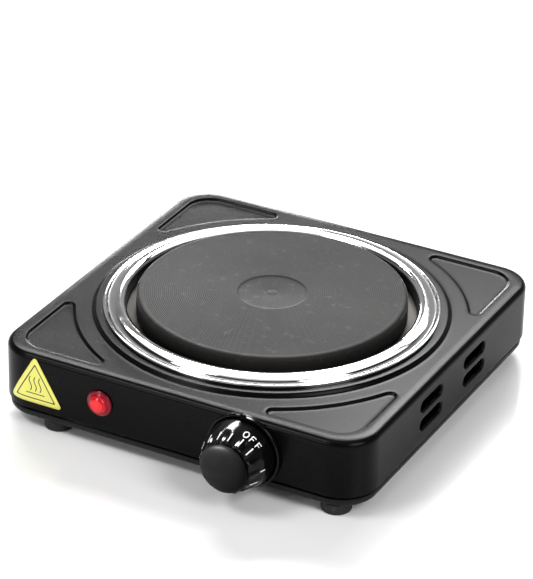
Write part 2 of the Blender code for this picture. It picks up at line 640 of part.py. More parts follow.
def wiring():
    """Sleeved leads between strip, thermostat, cut-out and element, and the cut-out itself."""
    low = BASE_Z + SHEET + 6.0
    strip_face = STRIP_Y - STRIP_HALF - LEAD_GAP
    pin_y, pin_z = CERAMIC_Y[0] - LEAD_GAP, TOP_Z - 11.0
    contact_x = KNOB_X
    contact_y = -HALF + SHEET + GAP + BRACKET_SHEET + GAP + CONTACT_REACH + LEAD_GAP
    contact_z = KNOB_Z + 8.1
    fuse_x, fuse_y, fuse_z = -30.0, -62.0, low + 2.0
    fuse_rear = fuse_y + CUTOUT_HALF
    fuse_front = fuse_y - CUTOUT_HALF
    body = turned("thermal_cutout", bar(3.2, -CUTOUT_HALF, CUTOUT_HALF, 0.8), 12, "Y")
    add("thermal_cutout", body, "zinc_steel", (fuse_x, fuse_y, fuse_z))
    routes = {
        "lead_live": [
            (GLAND_X - 9, strip_face, low), (GLAND_X - 9, strip_face - LEAD_STUB, low),
            (-82, 30, low), (-70, -20, low), (-44, -36, low),
            (fuse_x, fuse_rear + LEAD_STUB + 1, fuse_z), (fuse_x, fuse_rear + LEAD_GAP, fuse_z)],
        "lead_thermostat": [
            (fuse_x, fuse_front - LEAD_GAP, fuse_z), (fuse_x, fuse_front - LEAD_STUB, fuse_z),
            (fuse_x + 6, -86, low), (-6, -92, low), (26, -80, low + 2), (contact_x - 2, -60, 24),
            (contact_x, contact_y + 12, contact_z - 2), (contact_x, contact_y + 4, contact_z),
            (contact_x, contact_y, contact_z)],
        "lead_element": [
            (KNOB_X + 14, -84, low + 10), (62, -50, low + 2), (56, -5, low), (30, 14, 20),
            (4, 20, 26), (0, pin_y - LEAD_STUB, pin_z), (0, pin_y, pin_z)],
        "lead_neutral": [
            (GLAND_X + 9, strip_face, low), (GLAND_X + 9, strip_face - LEAD_STUB, low),
            (-52, 44, low), (-34, 24, 18), (-20, 18, 25), (-10, pin_y - LEAD_STUB, pin_z),
            (-10, pin_y, pin_z)],
    }
    for name, route in routes.items():
        wire(name, smooth_path(route), LEAD_R, "lead_sleeve", 1)


# ---------------------------------------------------------------- assembly

def centre_footprint():
    """Hang everything on one empty that puts the bounding box's centre on the origin."""
    centre = bpy.data.objects.new("burner_centre", None)
    centre.location.y = CENTRE_Y * MM
    bpy.context.collection.objects.link(centre)
    for obj in list(bpy.data.objects):
        if obj is not centre and obj.parent is None:
            obj.parent = centre


def build():
    clear_scene()
    top_housing()
    base_cover()
    feet_and_screws()
    warning_label()
    trim_ring()
    cast_plate()
    heating_element()
    element_cover()
    terminal_ceramic()
    heat_shield()
    clamp_bridge()
    stud_washer_nut()
    thermostat()
    knob_bezel()
    knob()
    lamp()
    cord_gland()
    terminal_strip()
    wiring()
    centre_footprint()


build()
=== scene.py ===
"""Looks of the countertop hot plate: enamelled case, chrome ring, cast plate, dial and lamp."""
import math

import bmesh
import bpy
from mathutils import Matrix, Vector

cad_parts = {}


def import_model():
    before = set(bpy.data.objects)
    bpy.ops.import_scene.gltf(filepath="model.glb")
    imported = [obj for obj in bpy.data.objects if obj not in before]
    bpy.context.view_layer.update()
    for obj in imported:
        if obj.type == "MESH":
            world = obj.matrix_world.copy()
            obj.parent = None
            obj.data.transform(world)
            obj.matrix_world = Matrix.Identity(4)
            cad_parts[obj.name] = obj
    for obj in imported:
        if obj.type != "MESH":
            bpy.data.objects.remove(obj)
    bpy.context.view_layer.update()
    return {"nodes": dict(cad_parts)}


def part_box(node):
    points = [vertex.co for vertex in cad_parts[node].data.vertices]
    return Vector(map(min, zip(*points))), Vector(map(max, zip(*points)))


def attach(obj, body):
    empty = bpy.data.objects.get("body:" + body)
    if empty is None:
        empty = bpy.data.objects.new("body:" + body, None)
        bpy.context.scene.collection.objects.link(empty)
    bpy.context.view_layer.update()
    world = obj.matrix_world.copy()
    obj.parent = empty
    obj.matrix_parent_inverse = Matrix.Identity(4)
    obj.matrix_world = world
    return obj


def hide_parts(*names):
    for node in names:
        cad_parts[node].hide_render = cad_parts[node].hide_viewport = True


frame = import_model()

MM = 0.001


def box_mm(node):
    low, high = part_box(node)
    return low / MM, high / MM


def middle(node):
    low, high = box_mm(node)
    return (low + high) / 2


# ---------------------------------------------------------------- sizes, in mm, taken from the frame
CASE_LOW, CASE_HIGH = box_mm("top_housing")
CENTRE = Vector((0.0, (CASE_LOW.y + CASE_HIGH.y) / 2, 0.0))
HALF = (CASE_HIGH.x - CASE_LOW.x) / 2
STEP_RISE = 2.2
TOP = CASE_HIGH.z - STEP_RISE
SEAM = CASE_LOW.z
CORNER_R = 22.0
TOP_ROLL = 3.5
MARGIN_INSET = 6.2           # the top is flat inside this, and falls away outside it
MARGIN_FALL = 0.30
SHEET = 1.1
SEAT_GAP = 0.3               # air left between a piece and what it sits on
FRONT = CASE_LOW.y
REAR = CASE_HIGH.y

PANEL_EDGE = 107.5
PANEL_ARC_R = 110.6
PANEL_CORNER_R = 17.0
PANEL_TIP_R = 5.4
PANEL_DEPTH = 1.45
PANEL_SLOPE = 5.0

STEP_FOOT_R = 104.3
STEP_SHOULDER_R = 98.6
OPENING_R = 88.0
VENT_CURL = 1.5
VENT_RUN = 10.25             # half of a side slot's straight part
VENT_R = 3.25
VENT_REACH = 28.0            # how far fore and aft of the middle the side slots stand
VENT_DROPS = (12.0, 23.5)    # their heights under the top
SHAFT_HOLE_R = 6.3
LAMP_HOLE_R = 5.6
GLAND_HOLE_R = 6.4

TRAY_LOW, TRAY_HIGH = box_mm("base_cover")
TRAY_INSET = 1.2
TRAY_ROLL = 2.4
TRAY_LIP = 0.7
SEAM_GAP = 1.4               # from the tray's drawn rim up to the top of its box
LOUVRE_RUN = 20.0
LOUVRE_R = 3.0
RING_LOW, RING_HIGH = box_mm("trim_ring")
RING_R = (RING_HIGH.x - RING_LOW.x) / 2
# the ring is painted dark as shade inside this radius
INNER_SHADE_R = 84.0
GROOVE_R = 94.15
PLATE_LOW, PLATE_HIGH = box_mm("cast_iron_plate")
PLATE_R = (PLATE_HIGH.x - PLATE_LOW.x) / 2
TOOL_PITCH = 1.15            # spacing of the plate's turned lines

KNOB = middle("knob_dial")
KNOB.y = FRONT
LAMP = middle("lamp_lens")
LAMP.y = FRONT
GLAND = middle("cord_gland")
GLAND.y = REAR
DIAL_TURN = 36.0             # how far the dial's OFF stands clockwise of the pointer
RIBS = 16
RIB_START = 12.0             # height out of the panel where the dial's ribs begin
MARK_HALF = 1.25             # half the width of a dial stroke, in degrees
LETTER_HEIGHT = 3.9
LETTER_STROKE = 0.62
LETTER_SPACING = 4.3
LENS_R = 8.0

LABEL_S = -87.4              # distance along the front wall, from the middle, of the label's centre
LABEL_FOOT = 18.0
LABEL_BASE = 35.1
LABEL_HEIGHT = 29.9


# ---------------------------------------------------------------- shader maths

class Value:
    """A node's output. Arithmetic on it adds Math nodes."""

    def __init__(self, graph, socket):
        self.graph = graph
        self.socket = socket

    def __add__(self, other):
        return self.graph.maths("ADD", self, other)

    def __sub__(self, other):
        return self.graph.maths("SUBTRACT", self, other)

    def __rsub__(self, other):
        return self.graph.maths("SUBTRACT", other, self)

    def __mul__(self, other):
        return self.graph.maths("MULTIPLY", self, other)

    __radd__ = __add__
    __rmul__ = __mul__


class Graph:
    """A node tree. Every node in it is made by node()."""

    def __init__(self, tree):
        self.tree = tree

    def node(self, kind, settings=None, inputs=None, output=0):
        """Add a node: its settings first, then values or links for its sockets."""
        made = self.tree.nodes.new(kind)
        for field, value in (settings or {}).items():
            if field == "stops":
                self.set_stops(made.color_ramp, value)
            else:
                setattr(made, field, value)
        for socket, value in (inputs or {}).items():
            self.feed(made.inputs[socket], value)
        return Value(self, made.outputs[output])

    @staticmethod
    def set_stops(ramp, stops):
        while len(ramp.elements) < len(stops):
            ramp.elements.new(1.0)
        for element, (place, shade) in zip(ramp.elements, stops):
            element.position = place
            element.color = (shade, shade, shade, 1.0) if isinstance(shade, float) else shade

    def feed(self, socket, value):
        if isinstance(value, Value):
            self.tree.links.new(value.socket, socket)
        else:
            socket.default_value = value

    def maths(self, operation, *terms):
        return self.node("ShaderNodeMath", {"operation": operation}, dict(enumerate(terms)))

    def axis(self, vector, name):
        return self.node("ShaderNodeSeparateXYZ", None, {0: vector}, output=name)


class Finish(Graph):
    """A procedural material: one Principled shader and what varies over it."""

    def __init__(self, name, **constants):
        self.material = bpy.data.materials.new(name)
        self.material.use_nodes = True
        super().__init__(self.material.node_tree)
        self.shader = self.tree.nodes["Principled BSDF"]
        for socket, value in constants.items():
            self.shader.inputs[socket.replace("_", " ")].default_value = value

    def rise(self, value, low, high):
        """Rise from 0 to 1 as value goes from low to high."""
        return self.node("ShaderNodeMapRange", {"interpolation_type": "SMOOTHSTEP"},
                         {"Value": value, "From Min": low, "From Max": high})

    def place(self, centre=(0, 0, 0), stretch=(1, 1, 1)):
        """Object coordinates in millimetres about a centre."""
        point = self.node("ShaderNodeTexCoord", output="Object")
        scale = tuple(s / MM for s in stretch)
        shift = tuple(-c * s for c, s in zip(centre, stretch))
        return self.node("ShaderNodeVectorMath", {"operation": "MULTIPLY_ADD"},
                         {0: point, 1: scale, 2: shift})

    def radius(self, centre, axis="Z"):
        """Distance in millimetres from an axis through centre."""
        flat = {"Z": (1, 1, 0), "Y": (1, 0, 1)}[axis]
        return self.node("ShaderNodeVectorMath", {"operation": "LENGTH"},
                         {0: self.place(centre, flat)}, output="Value")

    def noise(self, size, detail=2.0, rough=0.5, vector=None):
        """Noise whose blotches are about size millimetres across, from 0 to 1."""
        inputs = {"Vector": vector or self.place(), "Scale": 1.0 / size, "Detail": detail,
                  "Roughness": rough}
        return self.node("ShaderNodeTexNoise", None, inputs)

    def specks(self, size, amount):
        """Sparse round specks: 1 inside a speck."""
        cell = self.node("ShaderNodeTexVoronoi", None,
                         {"Vector": self.place(), "Scale": 1.0 / size})
        return 1 - self.rise(cell, amount, amount * 1.6)

    def mix(self, factor, low, high):
        """Mix two colours."""
        return self.node("ShaderNodeMix", {"data_type": "RGBA"},
                         {0: factor, 6: low, 7: high}, output=2)

    def colour(self, value):
        self.feed(self.shader.inputs["Base Color"], value)

    def rough(self, value):
        self.feed(self.shader.inputs["Roughness"], value)

    def bump(self, height, depth):
        """Relief of a height from 0 to 1, depth in millimetres."""
        normal = self.node("ShaderNodeBump", None, {"Height": height, "Distance": depth * MM})
        self.feed(self.shader.inputs["Normal"], normal)


def rgb(red, green, blue):
    return (red, green, blue, 1.0)


# ---------------------------------------------------------------- finishes

def case_enamel(name, base=0.0015):
    """Sprayed black enamel: fine orange peel, faint clouding, settled dust and small rubs."""
    f = Finish(name, IOR=1.155)
    peel = f.noise(1.6, 2.0, 0.45)
    cloud = f.noise(34.0, 3.0)
    dust = f.specks(2.6, 0.055)
    rub = f.rise(f.noise(9.0, 5.0, 0.7), 0.62, 0.78)
    dark, light = rgb(base, base, base * 1.04), rgb(base * 1.7, base * 1.68, base * 1.66)
    f.colour(f.mix(dust * 0.35, f.mix(cloud, dark, light), rgb(0.045, 0.044, 0.042)))
    f.rough(0.23 + 0.06 * cloud + 0.06 * rub + 0.20 * dust)
    f.bump(peel, 0.007)
    return f.material


def ring_chrome():
    """Bright plated steel, spun: polishing lines, light haze, a painted dark line of shade in the
    groove and painted shade over the inner side and ledge.
    """
    f = Finish("ring_chrome", Metallic=1.0)
    r = f.radius(CENTRE)
    around = f.place(CENTRE, (0.02, 0.02, 0.02))
    spun = f.node("ShaderNodeCombineXYZ", None, {"X": r, "Y": f.axis(around, 0)})
    lines = f.noise(0.35, 2.0, 0.6, spun)
    haze = f.rise(f.noise(14.0, 4.0), 0.42, 0.75)
    patch = f.noise(5.0, 3.0)
    # Painted shade: the inner side and ledge are coloured nearly black and made rougher, and the groove
    # gets a thin dark line.
    painted_shade = 1 - f.rise(r + 0.5 * patch, INNER_SHADE_R - 0.6, INNER_SHADE_R + 0.9)
    groove_shade = 1 - f.rise(f.maths("ABSOLUTE", r - GROOVE_R), 0.20, 0.55)
    painted_shade = f.maths("MAXIMUM", painted_shade, groove_shade)
    plated = f.mix(haze, rgb(0.91, 0.91, 0.92), rgb(0.80, 0.80, 0.81))
    f.colour(f.mix(painted_shade, plated, rgb(0.022, 0.020, 0.018)))
    f.rough(0.045 + 0.05 * lines + 0.06 * haze + 0.30 * painted_shade)
    f.bump(lines, 0.0015)
    return f.material


def plate_iron():
    """Turned cast iron with its black heat coating: tool lines, pores, worn and heat-tinted zones."""
    f = Finish("plate_iron", IOR=1.20)
    r = f.radius(CENTRE)
    turning = f.maths("SINE", r * (2 * math.pi / TOOL_PITCH))
    grain = f.noise(0.9, 4.0, 0.65)
    pores = f.specks(1.9, 0.10)
    heat = f.noise(26.0, 3.0)
    worn = f.rise(f.noise(5.0, 5.0, 0.7), 0.56, 0.72)
    base = f.mix(heat, rgb(0.008, 0.0078, 0.0076), rgb(0.017, 0.016, 0.015))
    f.colour(f.mix(worn * 0.35, base, rgb(0.034, 0.033, 0.032)))
    f.rough(0.50 + 0.18 * grain - 0.12 * worn)
    f.bump(0.35 * turning + 0.9 * grain - 0.8 * pores, 0.05)
    return f.material


def foot_rubber():
    """Dull moulded rubber with fine grain and patches of dust."""
    f = Finish("foot_rubber", Specular_IOR_Level=0.35)
    grain = f.noise(0.5, 3.0, 0.6)
    dust = f.rise(f.noise(4.0, 4.0), 0.5, 0.8)
    f.colour(f.mix(dust, rgb(0.012, 0.012, 0.012), rgb(0.035, 0.034, 0.033)))
    f.rough(0.62 + 0.2 * grain)
    f.bump(grain, 0.03)
    return f.material


def plated_steel(name, tint, roughness=0.32):
    """Zinc-plated pressed steel: spangle, drawing lines and small dull marks."""
    f = Finish(name, Metallic=1.0)
    spangle = f.node("ShaderNodeTexVoronoi", {"feature": "F1"},
                     {"Vector": f.place(), "Scale": 0.22}, output="Color")
    patch = f.axis(spangle, 0)
    drawn = f.noise(0.6, 3.0, 0.6, f.place((0, 0, 0), (1.0, 0.06, 1.0)))
    dull = f.rise(f.noise(7.0, 4.0), 0.5, 0.75)
    bright = rgb(*tint)
    f.colour(f.mix(0.3 * patch + 0.35 * dull, bright, rgb(*(0.6 * c for c in tint))))
    f.rough(roughness + 0.12 * drawn + 0.12 * dull)
    f.bump(drawn, 0.008)
    return f.material


def heater_steel():
    """Heater sheath, blued and browned by heat."""
    f = Finish("heater_steel", Metallic=0.9)
    tint = f.noise(9.0, 3.0)
    scale = f.noise(0.7, 4.0, 0.6)
    f.colour(f.mix(tint, rgb(0.16, 0.12, 0.10), rgb(0.13, 0.14, 0.19)))
    f.rough(0.42 + 0.25 * scale)
    f.bump(scale, 0.02)
    return f.material


def pressed_ceramic():
    """Dry-pressed steatite: chalky, slightly speckled."""
    f = Finish("pressed_ceramic")
    grain = f.noise(0.35, 3.0, 0.6)
    speck = f.specks(1.4, 0.08)
    f.colour(f.mix(speck * 0.6, f.mix(grain, rgb(0.74, 0.70, 0.62), rgb(0.84, 0.81, 0.74)),
                   rgb(0.42, 0.36, 0.30)))
    f.rough(0.60 + 0.2 * grain)
    f.bump(grain, 0.03)
    return f.material


def contact_brass():
    """Rolled brass with tarnish gathered in patches."""
    f = Finish("contact_brass", Metallic=1.0)
    tarnish = f.rise(f.noise(3.0, 5.0, 0.6), 0.45, 0.75)
    rolled = f.noise(0.3, 2.0, 0.6, f.place((0, 0, 0), (1.0, 0.05, 1.0)))
    f.colour(f.mix(tarnish, rgb(0.80, 0.60, 0.26), rgb(0.42, 0.27, 0.12)))
    f.rough(0.22 + 0.15 * rolled + 0.2 * tarnish)
    f.bump(rolled, 0.006)
    return f.material


def gloss_black(name):
    """Injection-moulded black plastic, glossy, with faint flow lines and fine hairline scuffs."""
    f = Finish(name, IOR=1.24)
    flow = f.noise(11.0, 3.0)
    scuff = f.rise(f.noise(0.5, 3.0, 0.7, f.place((0, 0, 0), (1.0, 0.08, 0.35))), 0.60, 0.74)
    peel = f.noise(2.2, 1.0)
    f.colour(f.mix(flow, rgb(0.0015, 0.0015, 0.0016), rgb(0.003, 0.003, 0.003)))
    f.rough(0.12 + 0.05 * flow + 0.12 * scuff)
    f.bump(peel, 0.010)
    return f.material


def cap_grey():
    """Satin charcoal cap with a fine spark-eroded texture and finger-polished patches."""
    f = Finish("cap_grey", IOR=1.13)
    grain = f.noise(0.28, 2.0, 0.6)
    polish = f.rise(f.noise(7.0, 4.0), 0.45, 0.7)
    f.colour(f.mix(polish, rgb(0.0018, 0.0018, 0.0019), rgb(0.0028, 0.0028, 0.0029)))
    f.rough(0.40 + 0.10 * grain - 0.06 * polish)
    f.bump(grain, 0.012)
    return f.material


def lens_red():
    """Clear red lens, moulded rings inside, glowing softly towards the middle."""
    f = Finish("lens_red", IOR=1.36, Emission_Strength=0.42)
    r = f.radius(LAMP, "Y")
    rings = f.maths("SINE", r * (2 * math.pi / 1.1))
    depth = f.noise(1.7, 2.0)
    depths = [(0.0, rgb(0.95, 0.030, 0.034)), (0.45, rgb(0.90, 0.020, 0.024)),
              (0.52, rgb(0.42, 0.002, 0.012)), (0.60, rgb(0.80, 0.014, 0.018)),
              (0.70, rgb(0.16, 0.0, 0.010)), (0.84, rgb(0.28, 0.0, 0.010)),
              (1.0, rgb(0.10, 0.0, 0.008))]
    glow = f.node("ShaderNodeValToRGB", {"stops": depths}, {"Fac": r * (1 / LENS_R)})
    f.colour(f.mix(0.5, glow, rgb(0.012, 0.0, 0.004)))
    f.feed(f.shader.inputs["Emission Color"], glow)
    f.rough(0.10 + 0.06 * depth)
    f.bump(rings * 0.5 + 0.3 * depth, 0.05)
    return f.material


def bulb_glass():
    """Thin bulb glass over warm electrodes, with a drawn-tip ripple."""
    f = Finish("bulb_glass", Transmission_Weight=0.6, IOR=1.45)
    ripple = f.noise(1.2, 2.0)
    f.colour(f.mix(ripple, rgb(0.95, 0.62, 0.42), rgb(0.98, 0.80, 0.66)))
    f.rough(0.05 + 0.08 * ripple)
    f.bump(ripple, 0.02)
    return f.material


def moulded_nylon(name, low, high):
    """Matt moulded nylon with fine grain and slight yellowing."""
    f = Finish(name, IOR=1.36)
    grain = f.noise(0.4, 3.0, 0.6)
    age = f.noise(8.0, 3.0)
    f.colour(f.mix(age, rgb(*low), rgb(*high)))
    f.rough(0.45 + 0.18 * grain)
    f.bump(grain, 0.02)
    return f.material


def label_film(name, low, high):
    """Printed film: ink density varies a little, fibres show faintly through the laminate."""
    f = Finish(name, Coat_Weight=0.25, Coat_Roughness=0.12)
    ink = f.noise(2.8, 4.0, 0.6)
    fibre = f.noise(0.25, 2.0, 0.7, f.place((0, 0, 0), (1.0, 1.0, 0.3)))
    f.colour(f.mix(ink, rgb(*low), rgb(*high)))
    f.rough(0.34 + 0.10 * fibre)
    f.bump(fibre, 0.006)
    return f.material


def braided_sleeve():
    """Woven glass sleeving over a lead: crossing strands."""
    f = Finish("braided_sleeve")
    spot = f.place()
    along = f.axis(spot, 0) + f.axis(spot, 1)
    across = f.axis(spot, 2) * 1.6
    strands = f.maths("SINE", (along + across) * 5.2) * f.maths("SINE", (along - across) * 5.2)
    fuzz = f.noise(0.3, 3.0, 0.7)
    f.colour(f.mix(strands * 0.4 + 0.5 * fuzz, rgb(0.42, 0.40, 0.34), rgb(0.74, 0.71, 0.63)))
    f.rough(0.75 + 0.15 * fuzz)
    f.bump(strands * 0.5 + 0.4 * fuzz, 0.12)
    return f.material


def worktop():
    """Pale glossy worktop, darker near the burner as painted shade round the body."""
    f = Finish("worktop", IOR=1.45)
    cloud = f.noise(260.0, 3.0)
    # Painted shade: the worktop darkens towards the body, from about 620 mm in to 190 mm from the
    # burner's middle.
    out_of_shade = f.rise(f.radius(CENTRE) + 30 * cloud, 190.0, 620.0)
    f.colour(f.mix(out_of_shade, rgb(0.86, 0.86, 0.86), rgb(0.97, 0.97, 0.97)))
    f.rough(0.10 + 0.05 * cloud)
    return f.material


# ---------------------------------------------------------------- mesh helpers

def finished(name, bm, material, body, node_names, smooth_angle=40.0):
    """Turn a mesh in mm into a piece that rides on a body and stands for its CAD nodes."""
    bmesh.ops.scale(bm, verts=bm.verts, vec=(MM, MM, MM))
    mesh = bpy.data.meshes.new(name)
    bm.to_mesh(mesh)
    bm.free()
    mesh.shade_smooth()
    mesh.set_sharp_from_angle(angle=math.radians(smooth_angle))
    mesh.materials.append(material)
    piece = bpy.data.objects.new(name, mesh)
    bpy.context.scene.collection.objects.link(piece)
    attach(piece, body)
    if node_names:
        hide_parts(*node_names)
    return piece


def add_loop(bm, points):
    return [bm.verts.new(p) for p in points]


def skin(bm, low, high, skip=()):
    """Quads between two loops with the same number of points."""
    count = len(low)
    for i in range(count):
        if i in skip:
            continue
        j = (i + 1) % count
        bm.faces.new((low[i], low[j], high[j], high[i]))


def skin_all(bm, loops):
    for low, high in zip(loops, loops[1:]):
        skin(bm, low, high)


def fill(bm, loops, normal=(0, 0, 1)):
    """Triangulate the flat region between closed loops of vertices."""
    edges = []
    for loop in loops:
        for a, b in zip(loop, loop[1:] + loop[:1]):
            edges.append(bm.edges.get((a, b)) or bm.edges.new((a, b)))
    bmesh.ops.triangle_fill(bm, use_beauty=True, use_dissolve=False, edges=edges, normal=normal)


def face_out(bm, probe=(0, 0, 1)):
    """Make the faces agree, with the highest one facing along probe."""
    bmesh.ops.recalc_face_normals(bm, faces=bm.faces)
    way = Vector(probe)
    outermost = max(bm.faces, key=lambda face: face.calc_center_median().dot(way))
    if outermost.normal.dot(way) < 0:
        bmesh.ops.reverse_faces(bm, faces=bm.faces)


def arc(cx, cy, radius, start, end, steps):
    points = []
    for i in range(steps + 1):
        a = math.radians(start + (end - start) * i / steps)
        points.append((cx + radius * math.cos(a), cy + radius * math.sin(a)))
    return points


def rounded_square(half, radius, steps=16):
    inner = half - radius
    points = []
    for sx, sy, start in ((1, 1, 0), (-1, 1, 90), (-1, -1, 180), (1, -1, 270)):
        points += arc(sx * inner, sy * inner, radius, start, start + 90, steps)
    return points


def case_loop(inset, z):
    """Plan outline of the case, drawn in by inset."""
    return [(x, y + CENTRE.y, z) for x, y in rounded_square(HALF - inset, CORNER_R - inset)]


def slot_outline(x, y, run, radius, steps):
    """Round-ended slot whose straight part reaches run to either side."""
    return arc(x + run, y, radius, -90, 90, steps) + arc(x - run, y, radius, 90, 270, steps)


def circle(radius, z, count=128):
    return [(radius * math.cos(2 * math.pi * i / count),
             CENTRE.y + radius * math.sin(2 * math.pi * i / count), z) for i in range(count)]


def ease(t):
    return t * t * (3 - 2 * t)


def pressed(t):
    """Wall of a pressing: long gentle shoulders and a steep middle."""
    return 0.14 * t + 0.86 * ease(min(1.0, max(0.0, (t - 0.3) / 0.4)))


def turned(bm, profile, segments, place, axis="Z", ribs=None):
    """Revolve (radius, height) points; a first or last radius of 0 closes on the axis.

    Axis Y has its height towards the user.  ribs(angle, radius, height) may add to the radius.
    """
    rings = []
    for r, h in profile:
        ring = []
        for i in range(1 if r == 0 else segments):
            a = 2 * math.pi * i / segments
            reach = r + (ribs(a, r, h) if ribs else 0.0)
            u, v = reach * math.sin(a), reach * math.cos(a)
            local = Vector((u, v, h)) if axis == "Z" else Vector((u, -h, v))
            ring.append(bm.verts.new(local + place))
        rings.append(ring)
    for low, high in zip(rings, rings[1:]):
        for i in range(segments):
            j = (i + 1) % segments
            corners = [low[i % len(low)], low[j % len(low)], high[j % len(high)], high[i % len(high)]]
            kept = list(dict.fromkeys(corners))
            if len(kept) > 2:
                bm.faces.new(kept)
    return rings


def closed_turning(bm, profile, segments, place, axis="Z", ribs=None):
    """Revolve a closed profile into a ring."""
    rings = turned(bm, profile, segments, place, axis, ribs)
    skin(bm, rings[-1], rings[0])


def ellipse_points(cx, cz, rx_start, rx_end, rz, steps):
    """Half an ellipse from its outer foot over the crest to its inner foot."""
    points = []
    for i in range(steps + 1):
        a = math.pi * i / steps
        rx = rx_start if a <= math.pi / 2 else rx_end
        points.append((cx + rx * math.cos(a), cz + rz * math.sin(a)))
    return points


def divided(path, step):
    """Points about a step apart along a path, without its last one."""
    fine = []
    for (x0, y0), (x1, y1) in zip(path, path[1:]):
        parts = max(1, round(math.hypot(x1 - x0, y1 - y0) / step))
        fine += [(x0 + (x1 - x0) * i / parts, y0 + (y1 - y0) * i / parts) for i in range(parts)]
    return fine


def stroke_sides(path, width):
    """Two rows of points, half a width to either side of a path."""
    sides = ([], [])
    for i, (x, y) in enumerate(path):
        ahead, behind = path[min(i + 1, len(path) - 1)], path[max(i - 1, 0)]
        run = Vector((ahead[0] - behind[0], ahead[1] - behind[1])).normalized()
        for side, row in zip((-width / 2, width / 2), sides):
            row.append((x - run.y * side, y + run.x * side))
    return sides


def strip(bm, points, more_points):
    """Faces between two rows of points laid side by side."""
    left = add_loop(bm, points)
    right = add_loop(bm, more_points)
    for i in range(len(left) - 1):
        bm.faces.new((left[i], left[i + 1], right[i + 1], right[i]))


def print_film(piece, thickness=0.05, offset=1.0):
    """Give a printed shape the thickness of its film."""
    film = piece.modifiers.new("film", "SOLIDIFY")
    film.thickness = thickness * MM
    film.offset = offset


def thicken(piece):
    """Give a sheet its gauge and break its cut edges."""
    solid = piece.modifiers.new("gauge", "SOLIDIFY")
    solid.thickness = SHEET * MM
    solid.offset = -1.0
    solid.use_even_offset = True
    soften(piece, 0.22)


def soften(piece, width, segments=2, angle=50.0):
    edge = piece.modifiers.new("broken_edge", "BEVEL")
    edge.width = width * MM
    edge.segments = segments
    edge.limit_method = "ANGLE"
    edge.angle_limit = math.radians(angle)
    edge.harden_normals = True
    weigh = piece.modifiers.new("flat_normals", "WEIGHTED_NORMAL")
    weigh.keep_sharp = True


# ---------------------------------------------------------------- case

def corner_panel(shrink):
    """Outline of the recess at the +X +Y corner, drawn in by shrink; always the same count."""
    tip_x = PANEL_EDGE - PANEL_TIP_R
    tip_y = math.sqrt((PANEL_ARC_R + PANEL_TIP_R) ** 2 - tip_x ** 2)
    lean = math.degrees(math.atan2(tip_y, tip_x))
    tip_r = PANEL_TIP_R - shrink
    centre = PANEL_EDGE - PANEL_CORNER_R
    points = arc(tip_x, tip_y, tip_r, 180 + lean, 360, 8)
    points += arc(centre, centre, PANEL_CORNER_R - shrink, 0, 90, 14)
    points += arc(tip_y, tip_x, tip_r, 90, 270 - lean, 8)
    points += arc(0, 0, PANEL_ARC_R + shrink, 90 - lean, lean, 22)[1:-1]
    return points


def panel_loop(quarter, shrink, z):
    turn = Matrix.Rotation(math.radians(90 * quarter), 3, "Z")
    return [turn @ Vector((x, y, z)) + CENTRE for x, y in corner_panel(shrink)]


def vent_lip(bm, side, y, z):
    """Pressed rim of a side slot, curling into the case; its outer loop is returned."""
    steps = []
    for k in range(6):
        a = math.radians(18 * k)
        steps.append((VENT_CURL * (1 - math.cos(a)), VENT_CURL * (1 - math.sin(a))))
    steps.append((VENT_CURL + 0.6, 0.0))
    rims = []
    for depth, grow in steps:
        outline = slot_outline(y, z, VENT_RUN, VENT_R + grow, 10)
        rims.append(add_loop(bm, [(side * (HALF - depth), u + CENTRE.y, v) for u, v in outline]))
    skin_all(bm, rims)
    return rims[0]


def wall_hole(bm, place, radius, count=48):
    """Round hole through the front or rear wall."""
    return add_loop(bm, [place + Vector((x, 0, z)) for x, z in arc(0, 0, radius, 0, 360, count)[:-1]])


def shell_levels():
    """Inset and height up the shell: flange, rolled foot, wall, rolled rim, falling margin."""
    foot_roll = 1.3
    levels = [(10.5, SEAM), (foot_roll, SEAM)]
    levels += [(foot_roll * (1 - math.cos(a)), SEAM + foot_roll * (1 - math.sin(a)))
               for a in (math.pi / 4, 0.0)]
    levels += [(0.0, TOP - TOP_ROLL - 1.0)]
    roll_end = math.radians(82)
    roll_foot = TOP - MARGIN_FALL - TOP_ROLL * math.sin(roll_end)
    levels += [(TOP_ROLL * (1 - math.cos(a)), roll_foot + TOP_ROLL * math.sin(a))
               for a in (roll_end * k / 10 for k in range(11))]
    roll_inset = levels[-1][0]
    for k in range(1, 7):
        inset = roll_inset + (MARGIN_INSET - roll_inset) * k / 6
        levels.append((inset, TOP - MARGIN_FALL * (1 - k / 6) ** 1.5))
    return levels


def shell_walls(bm):
    """Walls and rim of the shell, with their openings; the innermost loop is returned."""
    loops = [add_loop(bm, case_loop(inset, z)) for inset, z in shell_levels()]
    wall = 3                                   # index of the loop under the flat wall
    count = len(loops[0])
    right, rear, left, front = (count * k // 4 - 1 for k in (4, 1, 2, 3))   # edges along the walls
    for i, (low, high) in enumerate(zip(loops, loops[1:])):
        skin(bm, low, high, (right, rear, left, front) if i == wall else ())
    facing = {right: (1, 0, 0), rear: (0, 1, 0), left: (-1, 0, 0), front: (0, -1, 0)}
    cut = {edge: [] for edge in facing}
    for edge, side in ((right, 1), (left, -1)):
        for y in (-VENT_REACH, VENT_REACH):
            for drop in VENT_DROPS:
                cut[edge].append(vent_lip(bm, side, y, TOP - drop))
    cut[front] = [wall_hole(bm, KNOB, SHAFT_HOLE_R), wall_hole(bm, LAMP, LAMP_HOLE_R)]
    cut[rear] = [wall_hole(bm, GLAND, GLAND_HOLE_R)]
    for edge, holes in cut.items():
        a, b = edge, (edge + 1) % count
        border = [loops[wall][a], loops[wall][b], loops[wall + 1][b], loops[wall + 1][a]]
        fill(bm, [border] + holes, facing[edge])
    return loops[-1]


